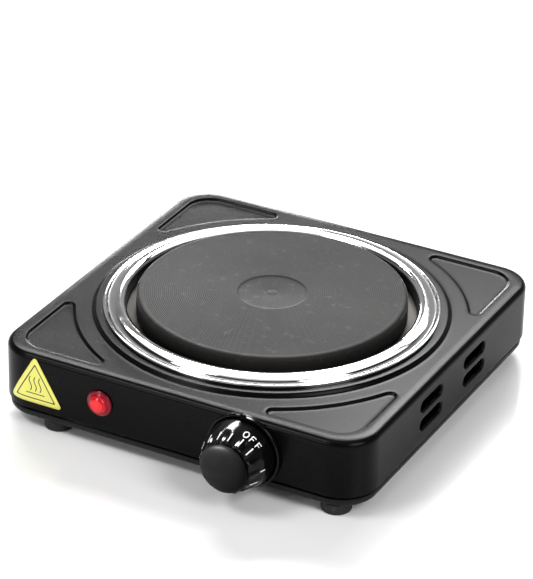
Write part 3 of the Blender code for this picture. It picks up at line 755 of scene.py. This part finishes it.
def burner_step(bm):
    """Raised step round the burner, down to the opening's edge; its outer loop is returned."""
    step = [(STEP_FOOT_R + 0.6, 0.0), (STEP_FOOT_R, 0.0)]
    step += [(STEP_FOOT_R - (STEP_FOOT_R - STEP_SHOULDER_R) * t / 12, STEP_RISE * pressed(t / 12))
             for t in range(1, 13)]
    step += [(STEP_SHOULDER_R - 0.6, STEP_RISE), (OPENING_R + 0.4, STEP_RISE),
             (OPENING_R, STEP_RISE - 0.4), (OPENING_R, STEP_RISE - 2.4)]
    rings = [add_loop(bm, circle(r, TOP + z)) for r, z in step]
    skin_all(bm, rings)
    return rings[0]


def corner_recess(bm, quarter):
    """One pressed recess in the top; its outer loop is returned."""
    lead = -0.5
    steps = [(lead - 0.4, 0.0), (lead, 0.0)]
    steps += [(lead + PANEL_SLOPE * t / 20, PANEL_DEPTH * pressed(t / 20)) for t in range(1, 21)]
    steps += [(PANEL_SLOPE - 0.1, PANEL_DEPTH)]
    walls = [add_loop(bm, panel_loop(quarter, shrink, TOP - depth)) for shrink, depth in steps]
    skin_all(bm, walls)
    fill(bm, [walls[-1]])
    return walls[0]


def case_shell(enamel):
    """Pressed upper shell: rolled rim, four recesses, raised step, side vents, in-turned flange."""
    bm = bmesh.new()
    loops = [shell_walls(bm), burner_step(bm)]
    loops += [corner_recess(bm, quarter) for quarter in range(4)]
    fill(bm, loops)
    face_out(bm)
    piece = finished("case_shell", bm, enamel, "case", ["top_housing"])
    thicken(piece)
    return piece


def louvre(bm, x, y):
    """Slot in the tray's floor with its edge turned in; its outer loop is returned."""
    rims = []
    for radius, z in ((LOUVRE_R, TRAY_LOW.z), (LOUVRE_R - 0.6, TRAY_LOW.z + 0.5)):
        outline = slot_outline(x, y, LOUVRE_RUN, radius, 8)
        rims.append(add_loop(bm, [(u, v + CENTRE.y, z) for u, v in outline]))
    skin_all(bm, rims)
    return rims[0]


def base_tray(enamel):
    """Shallow tray under the shell: softened rim, rolled foot and two columns of louvre slots."""
    bm = bmesh.new()
    rim, low = TRAY_HIGH.z - SEAM_GAP, TRAY_LOW.z
    levels = [(TRAY_INSET + TRAY_LIP, rim), (TRAY_INSET + 0.3 * TRAY_LIP, rim - 0.25 * TRAY_LIP),
              (TRAY_INSET, rim - TRAY_LIP), (TRAY_INSET, low + TRAY_ROLL)]
    levels += [(TRAY_INSET + TRAY_ROLL * (1 - math.cos(math.radians(a))),
                low + TRAY_ROLL * (1 - math.sin(math.radians(a)))) for a in range(15, 91, 15)]
    levels += [(TRAY_INSET + TRAY_ROLL + 0.6, low)]
    loops = [add_loop(bm, case_loop(inset, z)) for inset, z in levels]
    skin_all(bm, loops)
    slots = [louvre(bm, column, -36.0 + 24.0 * i) for column in (-34.0, 34.0) for i in range(4)]
    fill(bm, [loops[-1]] + slots, (0, 0, -1))
    face_out(bm, (0, 0, -1))
    piece = finished("base_tray", bm, enamel, "case", ["base_cover"])
    thicken(piece)
    return piece


def feet(rubber):
    for end in ("front", "rear"):
        for side in ("left", "right"):
            node = f"foot_{end}_{side}"
            low, high = box_mm(node)
            r, h = (high.x - low.x) / 2, high.z
            place = Vector(((low.x + high.x) / 2, (low.y + high.y) / 2, 0.0))
            profile = [(2.1, h), (r - 0.5, h), (r - 0.1, h - 0.3), (r, h - 0.9), (r - 0.25, 2.2)]
            profile += [(r - 1.3 + 1.05 * math.cos(math.radians(a)),
                         1.1 - 1.1 * math.sin(math.radians(a))) for a in range(0, 91, 18)]
            profile += [(r - 2.6, 0.0), (r - 2.9, 0.35), (5.0, 0.35), (4.7, 0.0), (4.3, 0.1),
                        (4.2, 2.6), (2.1, 2.6)]
            bm = bmesh.new()
            closed_turning(bm, profile, 56, place)
            face_out(bm)
            finished(f"{node}_rubber", bm, rubber, "case", [node])


# ---------------------------------------------------------------- burner

def chrome_ring(chrome):
    """Spun ring: rolled outer lip, sharp groove, domed band, inner wall and ledge."""
    seat = TOP + STEP_RISE + SEAT_GAP
    lip_r, gauge = 0.85, 1.0
    crest_r, band_out, band_in = 87.4, 93.7, 83.2
    crest_z = RING_HIGH.z
    foot_z = seat + 1.15
    profile = [(RING_R, seat), (RING_R, seat + 0.9)]
    profile += arc(RING_R - lip_r, seat + 1.05, lip_r, 0, 165, 10)
    profile += [(GROOVE_R + 0.35, seat + 0.6), (GROOVE_R + 0.2, seat + 0.25),
                (GROOVE_R - 0.2, seat + 0.25), (GROOVE_R - 0.42, seat + 0.6)]
    profile += ellipse_points(crest_r, foot_z, band_out - crest_r, crest_r - band_in,
                              crest_z - foot_z, 32)[1:]
    profile += [(band_in, TOP - 1.4), (82.7, TOP - 1.95), (82.0, TOP - 2.0), (74.8, TOP - 2.0),
                (74.5, TOP - 2.3), (74.5, TOP - 2.9), (band_in + gauge, TOP - 2.9),
                (band_in + gauge, foot_z + 0.4)]
    profile += ellipse_points(crest_r, foot_z, band_out - 0.9 - crest_r, crest_r - band_in - gauge,
                              crest_z - foot_z - 0.9, 12)[::-1]
    profile += [(band_out - 0.5, seat)]
    bm = bmesh.new()
    closed_turning(bm, profile, 192, CENTRE)
    face_out(bm)
    return finished("chrome_ring", bm, chrome, "case", ["trim_ring"])


def iron_plate(iron):
    """Cast plate: turned rings, shallow middle recess, rounded rim, heater groove and stud boss."""
    top, low = PLATE_HIGH.z, PLATE_LOW.z
    dish = top - 0.6
    profile = [(0, dish), (3.0, dish)]
    r = 3.0
    while r < 17.0:
        profile += [(r + TOOL_PITCH * 0.25, dish - 0.06), (r + TOOL_PITCH * 0.5, dish)]
        r += TOOL_PITCH
    profile += [(18.6, dish), (19.3, dish + 0.1), (20.0, top - 0.12), (20.6, top)]
    r = 21.0
    while r < PLATE_R - 4.5:
        profile += [(r, top), (r + TOOL_PITCH * 0.35, top - 0.10), (r + TOOL_PITCH * 0.65, top)]
        r += TOOL_PITCH
    bend = 2.3
    profile += [(PLATE_R - bend + bend * math.sin(math.radians(a)),
                 top - bend + bend * math.cos(math.radians(a))) for a in range(0, 91, 10)]
    rim_low = TOP - 1.7
    roof, blind = rim_low + 5.4, TOP + 3.0         # heater groove, and the stud's blind hole
    profile += [(PLATE_R, rim_low + 0.4), (PLATE_R - 0.4, rim_low), (71.0, rim_low), (71.0, roof),
                (35.0, roof), (35.0, rim_low), (13.0, rim_low), (13.0, low), (3.4, low),
                (3.4, blind), (0, blind)]
    bm = bmesh.new()
    turned(bm, profile, 160, CENTRE)
    face_out(bm)
    finished("iron_plate", bm, iron, "case", ["cast_iron_plate"], 50.0)


# ---------------------------------------------------------------- knob

def dial_radius(height):
    """Outer radius of the dial cone at a height out of the panel."""
    stops = [(3.4, 19.8), (4.6, 20.1), (8.0, 19.5), (13.0, 18.4), (17.0, 17.45), (20.6, 16.5),
             (22.4, 15.6)]
    crown = 0.28 * max(0.0, 1 - ((height - 10.5) / 6.5) ** 2)
    for (h0, r0), (h1, r1) in zip(stops, stops[1:]):
        if height <= h1:
            return r0 + (r1 - r0) * (height - h0) / (h1 - h0) + crown
    return stops[-1][1]


def rib_swell(angle, radius, height):
    """Ribs crest under the strokes and fade towards the skirt."""
    if radius < 13.5 or height < RIB_START:
        return 0.0
    phase = (math.degrees(angle) - DIAL_TURN) * RIBS / 360.0
    crest = 0.5 + 0.5 * math.cos(2 * math.pi * (phase - 0.5))
    return (crest ** 2 - 1.0) * ease(min(1.0, (height - RIB_START) / 6.5))


def dial_body(plastic):
    """Hollow ribbed cone with a rolled front edge and a hub on the spindle."""
    bm = bmesh.new()
    profile = [(18.9, 3.4), (19.6, 3.4)]
    profile += [(dial_radius(h), h) for h in (3.7, 4.6, 5.5, 7, 8.5, 10, 11.5, 13, 14.5, 16, 17.5,
                                              19, 20.2, 21.0)]
    profile += [(16.1, 21.6), (15.7, 22.1), (15.1, 22.4), (14.6, 22.4), (13.0, 22.3),
                (4.3, 22.3), (4.3, 3.4), (6.8, 3.4), (6.8, 20.0), (14.2, 20.0), (17.4, 12.0),
                (18.7, 4.4)]
    closed_turning(bm, profile, 192, KNOB, "Y", rib_swell)
    face_out(bm)
    return finished("dial_body", bm, plastic, "knob", ["knob_dial"], 55.0)


def on_dial(angle_deg, height, proud=0.06):
    """Point on the dial cone; angle is clockwise from the top as the user sees it."""
    a = math.radians(angle_deg)
    base = dial_radius(height)
    r = base + rib_swell(a, base, height) + proud
    return Vector((r * math.sin(a), -height, r * math.cos(a))) + KNOB


def dial_marks(ink):
    """White strokes along the ribs: one is left out, and one is short and nearer the skirt."""
    bm = bmesh.new()
    steps = 8
    for k in range(RIBS):
        if k == 1:
            continue
        angle = DIAL_TURN + 360.0 / RIBS * (k + 0.5)
        start, end = (15.4, 21.2) if k != 2 else (12.2, 15.6)
        rows = [[on_dial(angle + MARK_HALF * side, start + (end - start) * i / steps)
                 for i in range(steps + 1)] for side in (-1, 0, 1)]
        strip(bm, rows[0], rows[1])
        strip(bm, rows[1], rows[2])
    bmesh.ops.remove_doubles(bm, verts=bm.verts, dist=1e-4)
    face_out(bm)
    piece = finished("dial_marks", bm, ink, "knob", [])
    print_film(piece)


def letter_strokes(letter):
    """Centre lines of an O or an F, from the left end of its foot."""
    if letter == "O":
        half_width, half_height = 1.35, LETTER_HEIGHT / 2
        turns = [2 * math.pi * i / 28 for i in range(29)]
        return [[(half_width * (1 + math.sin(a)), half_height * (1 + math.cos(a))) for a in turns]]
    stem = 0.3
    return [[(stem, 0.0), (stem, LETTER_HEIGHT)], [(0.0, LETTER_HEIGHT), (2.5, LETTER_HEIGHT)],
            [(stem, 2.1), (2.1, 2.1)]]


def on_word(n, u, v):
    """Point of the word's letter n, u along it and v up it, wrapped round the dial."""
    foot, dial_r, half_width = 14.1, 18.2, 1.3
    along = (n - 1) * LETTER_SPACING + u - half_width
    return on_dial(DIAL_TURN + math.degrees(along / dial_r), foot - v, 0.07)


def dial_word(ink):
    """OFF, set in plain strokes and wrapped round the cone."""
    bm = bmesh.new()
    for n, letter in enumerate("OFF"):
        for path in letter_strokes(letter):
            sides = stroke_sides(divided(path, 0.4) + [path[-1]], LETTER_STROKE)
            strip(bm, *[[on_word(n, u, v) for u, v in row] for row in sides])
    face_out(bm)
    piece = finished("dial_word", bm, ink, "knob", [])
    print_film(piece)


def grip_cap(plastic):
    """Cap over the dial's front: a short foot and a low dome."""
    tip = -(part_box("knob_cap")[0].y / MM - FRONT)
    foot, radius = 22.7, 14.45
    shoulder = foot + 0.9
    profile = [(0, foot), (13.7, foot), (14.2, foot + 0.3), (radius, shoulder)]
    for i in range(1, 14):
        a = math.radians(90 * i / 14)
        profile.append((radius * math.cos(a), shoulder + (tip - shoulder) * math.sin(a)))
    profile.append((0, tip))
    bm = bmesh.new()
    turned(bm, profile, 96, KNOB, "Y")
    face_out(bm, (0, -1, 0))
    return finished("grip_cap", bm, plastic, "knob", ["knob_cap"], 60.0)


def panel_bezel(plastic):
    """Fixed dished ring behind the dial, with its pointer tab."""
    bm = bmesh.new()
    profile = [(6.0, 0.3), (21.9, 0.3), (22.2, 0.6), (22.2, 2.3), (22.05, 2.7), (21.7, 2.95),
               (21.2, 3.0), (20.85, 2.9), (20.65, 2.6), (20.6, 2.2), (20.45, 1.7), (20.0, 1.5),
               (6.4, 1.5), (6.0, 1.2)]
    closed_turning(bm, profile, 144, KNOB, "Y")
    face_out(bm, (0, -1, 0))
    finished("panel_bezel", bm, plastic, "case", ["knob_bezel"])
    rim_block("pointer_tab", plastic, (-3.4, 3.4), (20.7, 23.8), 4.1)
    rim_block("pointer_ramp", plastic, (5.0, 19.0), (20.8, 22.4), 3.9)


def rim_block(name, plastic, sweep, radii, depth):
    """Raised block on the bezel's rim, between two angles clockwise from the top."""
    bm = bmesh.new()
    steps = 12
    outline = []
    for radius, run in ((radii[1], range(steps + 1)), (radii[0], range(steps, -1, -1))):
        for i in run:
            a = math.radians(sweep[0] + (sweep[1] - sweep[0]) * i / steps)
            outline.append((radius * math.sin(a), radius * math.cos(a)))
    near = add_loop(bm, [Vector((x, -depth, z)) + KNOB for x, z in outline])
    far = add_loop(bm, [Vector((x, -2.0, z)) + KNOB for x, z in outline])
    skin(bm, near, far)
    bm.faces.new(near)
    bm.faces.new(far[::-1])
    face_out(bm, (0, -1, 0))
    piece = finished(name, bm, plastic, "case", [])
    soften(piece, 0.35, 3, 30.0)


# ---------------------------------------------------------------- lamp, label, gland

def lamp(red):
    """One-piece red lens: flange against the panel and a domed barrel."""
    bm = bmesh.new()
    profile = [(0, 4.6), (1.3, 4.57), (2.5, 4.46), (3.5, 4.25), (4.3, 3.9), (4.85, 3.4),
               (5.15, 2.8), (5.3, 2.0), (5.5, 1.75), (6.9, 1.6), (7.4, 1.4), (7.7, 1.05),
               (7.8, 0.6), (7.6, 0.3), (5.3, 0.3), (5.3, -11.0), (4.1, -11.0), (4.1, 2.6), (0, 3.2)]
    turned(bm, profile, 72, LAMP, "Y")
    face_out(bm, (0, -1, 0))
    finished("lamp_cap", bm, red, "case", ["lamp_lens"], 60.0)


def on_front_wall(s, z, proud):
    """Point on the front wall, s along it from the middle, bending round the left corner."""
    flat_end = -(HALF - CORNER_R)
    if s >= flat_end:
        return Vector((s, FRONT - proud, z))
    turn = (flat_end - s) / CORNER_R
    reach = CORNER_R + proud
    return Vector((flat_end - reach * math.sin(turn),
                   FRONT + CORNER_R - reach * math.cos(turn), z))


def on_label(u, v, proud):
    """Point of the label, u across it from its middle and v up from its foot."""
    return on_front_wall(LABEL_S + u, LABEL_FOOT + v, proud)


def rounded_triangle(base, height, radius, steps=6):
    """Upright triangle with its base on 0, corners rounded."""
    corners = [Vector((-base / 2, 0)), Vector((base / 2, 0)), Vector((0, height))]
    outline = []
    for i, corner in enumerate(corners):
        back = (corners[i - 1] - corner).normalized()
        ahead = (corners[(i + 1) % 3] - corner).normalized()
        half = back.angle(ahead) / 2
        centre = corner + (back + ahead).normalized() * radius / math.sin(half)
        out = math.degrees(math.atan2(corner.y - centre.y, corner.x - centre.x))
        swing = 90 - math.degrees(half)
        outline += arc(centre.x, centre.y, radius, out - swing, out + swing, steps)
    return divided(outline + outline[:1], 1.2)


def label_layer(name, outer, inner, proud, material, node_names=()):
    """A film shape on the wall: from an outer outline in to an inner one, or to a point."""
    bm = bmesh.new()
    loops = []
    steps = 8
    for k in range(steps + 1):
        t = k / steps
        ring = [(a[0] + (b[0] - a[0]) * t, a[1] + (b[1] - a[1]) * t) for a, b in zip(outer, inner)]
        loops.append(add_loop(bm, [on_label(u, v, proud) for u, v in ring]))
    skin_all(bm, loops)
    bmesh.ops.remove_doubles(bm, verts=bm.verts, dist=1e-3)
    face_out(bm, (0, -1, 0))
    piece = finished(name, bm, material, "case", list(node_names))
    if node_names:
        print_film(piece, 0.12, -1.0)
    else:
        print_film(piece, 0.04)


def inset_triangle(by, radius):
    """The label's outline drawn in evenly by a margin."""
    slant = math.atan2(LABEL_HEIGHT, LABEL_BASE / 2)
    half_apex = math.pi / 2 - slant
    base = LABEL_BASE - 2 * by / math.tan(slant / 2)
    height = LABEL_HEIGHT - by - by / math.sin(half_apex)
    return [(x, y + by) for x, y in rounded_triangle(base, height, max(0.3, radius - by))]


def resampled(outline, count):
    """The same outline with a set number of points, evenly spaced from the lowest left one."""
    start = min(range(len(outline)), key=lambda i: outline[i][0] + outline[i][1])
    ring = outline[start:] + outline[:start + 1]
    lengths = [0.0]
    for a, b in zip(ring, ring[1:]):
        lengths.append(lengths[-1] + math.hypot(b[0] - a[0], b[1] - a[1]))
    points, j = [], 0
    for i in range(count):
        want = lengths[-1] * i / count
        while lengths[j + 1] < want:
            j += 1
        t = (want - lengths[j]) / max(1e-9, lengths[j + 1] - lengths[j])
        a, b = ring[j], ring[j + 1]
        points.append((a[0] + (b[0] - a[0]) * t, a[1] + (b[1] - a[1]) * t))
    return points


def label(film, ink):
    """Plain yellow heat sign: triangle, thin border, three waves over a line."""
    count = 120
    edge = resampled(inset_triangle(0.0, 1.6), count)
    centre = (0.0, 10.0)
    label_layer("label_film", edge, [centre] * count, 0.50, film, ["heat_warning_label"])
    border_out = resampled(inset_triangle(2.5, 2.9), count)
    border_in = resampled(inset_triangle(3.15, 3.5), count)
    label_layer("label_border", border_out, border_in, 0.52, ink)
    label_waves(ink)


def label_waves(ink):
    """Three rising waves over a short line."""
    paths = [[(x + 0.75 * math.sin(2 * math.pi * i / 24), 7.6 + 9.0 * i / 24) for i in range(25)]
             for x in (-3.1, 0.0, 3.1)]
    paths.append([(-6.0 + 12.0 * i / 16, 6.0) for i in range(17)])
    bm = bmesh.new()
    for path in paths:
        sides = stroke_sides(path, 0.55)
        strip(bm, *[[on_label(u, v, 0.53) for u, v in row] for row in sides])
    face_out(bm, (0, -1, 0))
    piece = finished("label_waves", bm, ink, "case", [])
    print_film(piece, 0.04)


def gland(nylon):
    """Bush through the rear wall with a rounded flange outside."""
    bm = bmesh.new()
    profile = [(4.0, -10.0), (4.0, 3.0), (4.4, 3.4), (7.6, 3.4), (8.4, 3.1), (8.85, 2.5),
               (9.0, 1.6), (9.0, 0.3), (6.1, 0.3), (6.1, -10.0)]
    closed_turning(bm, [(r, -h) for r, h in profile], 72, GLAND, "Y")
    face_out(bm, (0, 1, 0))
    finished("gland_bush", bm, nylon, "case", ["cord_gland"])


# ---------------------------------------------------------------- screws

def cross_screw(name, node, steel, head_r, head_low, head_high, shank_r, tip):
    """Pan-head screw seen from below: domed head with a cross recess, plain shank."""
    place = middle(node)
    place.z = 0.0
    arm_half, arm_reach, arm_depth = 0.17 * head_r, 0.62 * head_r, 0.9
    rings, segments = 14, 48
    turns = [2 * math.pi * i / segments for i in range(segments)]
    bm = bmesh.new()
    loops = []
    for k in range(1, rings + 1):
        r = head_r * k / rings
        dome = head_low + (head_high - head_low) * 0.45 * (r / head_r) ** 4
        loop = []
        for a in turns:
            x, y = r * math.cos(a), r * math.sin(a)
            arm = min(abs(x), abs(y)) < arm_half and r < arm_reach
            loop.append(Vector((x, y, dome + (arm_depth if arm else 0.0))) + place)
        loops.append(add_loop(bm, loop))
    hub = bm.verts.new(Vector((0, 0, head_low + 1.1)) + place)
    for i in range(segments):
        bm.faces.new((hub, loops[0][i], loops[0][(i + 1) % segments]))
    for r, z in ((head_r, head_high - 0.1), (head_r - 0.1, head_high), (shank_r, head_high),
                 (shank_r, tip - 1.2), (0.3, tip)):
        loop = [Vector((r * math.cos(a), r * math.sin(a), z)) + place for a in turns]
        loops.append(add_loop(bm, loop))
    skin_all(bm, loops)
    bm.faces.new(loops[-1])
    face_out(bm)
    finished(name, bm, steel, "case", [node], 35.0)


def screws(steel):
    for end in ("front", "rear"):
        for side in ("left", "right"):
            node = f"foot_screw_{end}_{side}"
            low, high = box_mm(node)
            cross_screw(f"{node}_steel", node, steel, 3.6, low.z, low.z + 1.7, 1.7, high.z)
            node = f"base_screw_{end}_{side}"
            low, high = box_mm(node)
            cross_screw(f"{node}_steel", node, steel, 3.2, low.z, low.z + 1.9, 1.5, high.z)


# ---------------------------------------------------------------- kept frame pieces

def dress(materials):
    """Better materials, and broken edges, for the frame's own inner pieces."""
    choices = {
        "zinc": ["element_cover", "clamp_bridge", "centre_stud", "stud_washer",
                 "stud_nut", "thermostat_bracket", "thermostat_screw_left",
                 "thermostat_screw_right", "bimetal_strip", "shaft_clip", "lamp_clip",
                 "thermal_cutout"],
        "shield": ["heat_shield"],
        "heater": ["heating_element"],
        "ceramic": ["terminal_ceramic", "thermostat_body", "contact_spacer_lower",
                    "contact_spacer_upper"],
        "brass": ["fixed_contact", "contact_blade", "thermostat_shaft"],
        "glass": ["neon_bulb"],
        "nylon": ["terminal_strip"],
        "black_nylon": ["gland_nut"],
        "sleeve": ["lead_live", "lead_thermostat", "lead_element", "lead_neutral"],
    }
    for finish, names in choices.items():
        for name in names:
            node = frame["nodes"][name]
            node.data.materials.clear()
            node.data.materials.append(materials[finish])
            if finish != "sleeve":
                soften(node, 0.12)


# ---------------------------------------------------------------- stage, light and camera

def stage():
    """Flat worktop under the feet."""
    reach = 4.0
    corners = [(-reach, -reach, 0), (reach, -reach, 0), (reach, reach, 0), (-reach, reach, 0)]
    mesh = bpy.data.meshes.new("worktop")
    mesh.from_pydata(corners, [], [(0, 1, 2, 3)])
    mesh.materials.append(worktop())
    floor = bpy.data.objects.new("worktop", mesh)
    bpy.context.scene.collection.objects.link(floor)


def world():
    """Soft studio: bright near the horizon and straight overhead, dark in the band between."""
    sky = bpy.data.worlds.new("studio")
    bpy.context.scene.world = sky
    sky.use_nodes = True
    graph = Graph(sky.node_tree)
    height = graph.axis(graph.node("ShaderNodeTexCoord", output="Generated"), "Z")
    shades = [(0.0, 0.60), (0.15, 0.35), (0.45, 0.25), (0.58, 0.02), (0.80, 0.02), (0.92, 0.60)]
    shade = graph.node("ShaderNodeValToRGB", {"stops": shades}, {"Fac": height})
    graph.feed(graph.tree.nodes["Background"].inputs["Color"], shade)


def light(name, place, target, size, watts, only=()):
    """Rectangular soft light; one with a flag round it reaches only some pieces."""
    lamp_data = bpy.data.lights.new(name, "AREA")
    lamp_data.shape = "RECTANGLE"
    lamp_data.size, lamp_data.size_y = size
    lamp_data.energy = watts
    source = bpy.data.objects.new(name, lamp_data)
    if only:
        source.light_linking.receiver_collection = bpy.data.collections.new(f"{name}_reach")
        for piece in only:
            source.light_linking.receiver_collection.objects.link(piece)
    source.visible_camera = False
    source.location = place
    source.rotation_euler = (Vector(target) - Vector(place)).to_track_quat("-Z", "Y").to_euler()
    bpy.context.scene.collection.objects.link(source)


def lights(dial, cap, ring):
    """Six banks for everything, then one each for the dial, the cap and the ring."""
    target = (0.0, CENTRE.y * MM, 0.04)
    light("front_bank", (-0.8, -0.9, 1.6), target, (0.7, 0.5), 16.0)
    light("low_front", (-0.75, -1.6, 0.70), target, (0.5, 0.30), 7.0)
    light("right_bank", (1.5, -0.6, 1.3), target, (0.9, 0.9), 25.0)
    light("back_bank", (-0.20, 1.55, 1.15), target, (1.0, 0.36), 19.0)
    light("edge_bank", (-0.78, 1.28, 1.36), target, (1.4, 0.16), 38.0)
    light("rear_strip", (-0.50, 0.75, 0.19), target, (0.34, 0.09), 4.5)
    light("dial_spot", (-0.98, 0.80, 1.37), target, (0.50, 0.40), 110.0, [dial])
    light("cap_spot", (-0.85, -0.80, 1.05), target, (0.4, 0.4), 330.0, [cap])
    light("ring_bank", (-0.1, 0.4, 1.5), target, (2.2, 1.6), 15.0, [ring])


def camera():
    """Long lens from the front right, above, turned a little about its own axis."""
    width = 2 * HALF * MM
    azimuth, elevation, roll = math.radians(27.50), math.radians(28.38), math.radians(1.29)
    distance = 7.933 * width
    back = Vector((math.sin(azimuth) * math.cos(elevation),
                   -math.cos(azimuth) * math.cos(elevation), math.sin(elevation)))
    aim = Vector((-0.0568 * width, 0.0772 * width, TOP * MM)) + CENTRE * MM
    data = bpy.data.cameras.new("camera")
    data.sensor_fit = "VERTICAL"
    data.sensor_height = 36.0
    data.lens = 196.71
    data.clip_start = 0.1
    data.clip_end = 50.0
    eye = bpy.data.objects.new("camera", data)
    spin = Matrix.Rotation(roll, 4, "Z")
    look = (-back).to_track_quat("-Z", "Y").to_matrix().to_4x4()
    eye.matrix_world = Matrix.Translation(aim + back * distance) @ look @ spin
    bpy.context.scene.collection.objects.link(eye)
    bpy.context.scene.camera = eye


def frame_finishes(zinc, black_nylon):
    """What the frame's own pieces are finished in."""
    return {
        "zinc": zinc,
        "shield": plated_steel("shield_steel", (0.5, 0.5, 0.5), 0.4),
        "heater": heater_steel(),
        "ceramic": pressed_ceramic(),
        "brass": contact_brass(),
        "glass": bulb_glass(),
        "nylon": moulded_nylon("strip_nylon", (0.66, 0.65, 0.60), (0.76, 0.75, 0.70)),
        "black_nylon": black_nylon,
        "sleeve": braided_sleeve(),
    }


def build():
    """Every piece, then the worktop, the light and the camera."""
    enamel = case_enamel("case_enamel")
    zinc = plated_steel("zinc_plate", (0.62, 0.63, 0.64))
    black_nylon = moulded_nylon("gland_nylon", (0.012, 0.012, 0.012), (0.022, 0.022, 0.022))
    case_shell(enamel)
    base_tray(case_enamel("tray_enamel", 0.010))
    feet(foot_rubber())
    ring = chrome_ring(ring_chrome())
    iron_plate(plate_iron())
    dial = dial_body(gloss_black("dial_gloss"))
    white_ink = label_film("dial_ink", (0.80, 0.80, 0.80), (0.90, 0.90, 0.90))
    dial_marks(white_ink)
    dial_word(white_ink)
    cap = grip_cap(cap_grey())
    panel_bezel(gloss_black("bezel_gloss"))
    lamp(lens_red())
    label(label_film("label_yellow", (0.74, 0.71, 0.11), (0.80, 0.77, 0.15)),
          label_film("label_ink", (0.012, 0.012, 0.004), (0.03, 0.028, 0.008)))
    gland(black_nylon)
    screws(zinc)
    dress(frame_finishes(zinc, black_nylon))
    stage()
    world()
    lights(dial, cap, ring)
    camera()
    bpy.context.scene.view_settings.view_transform = "Standard"


build()
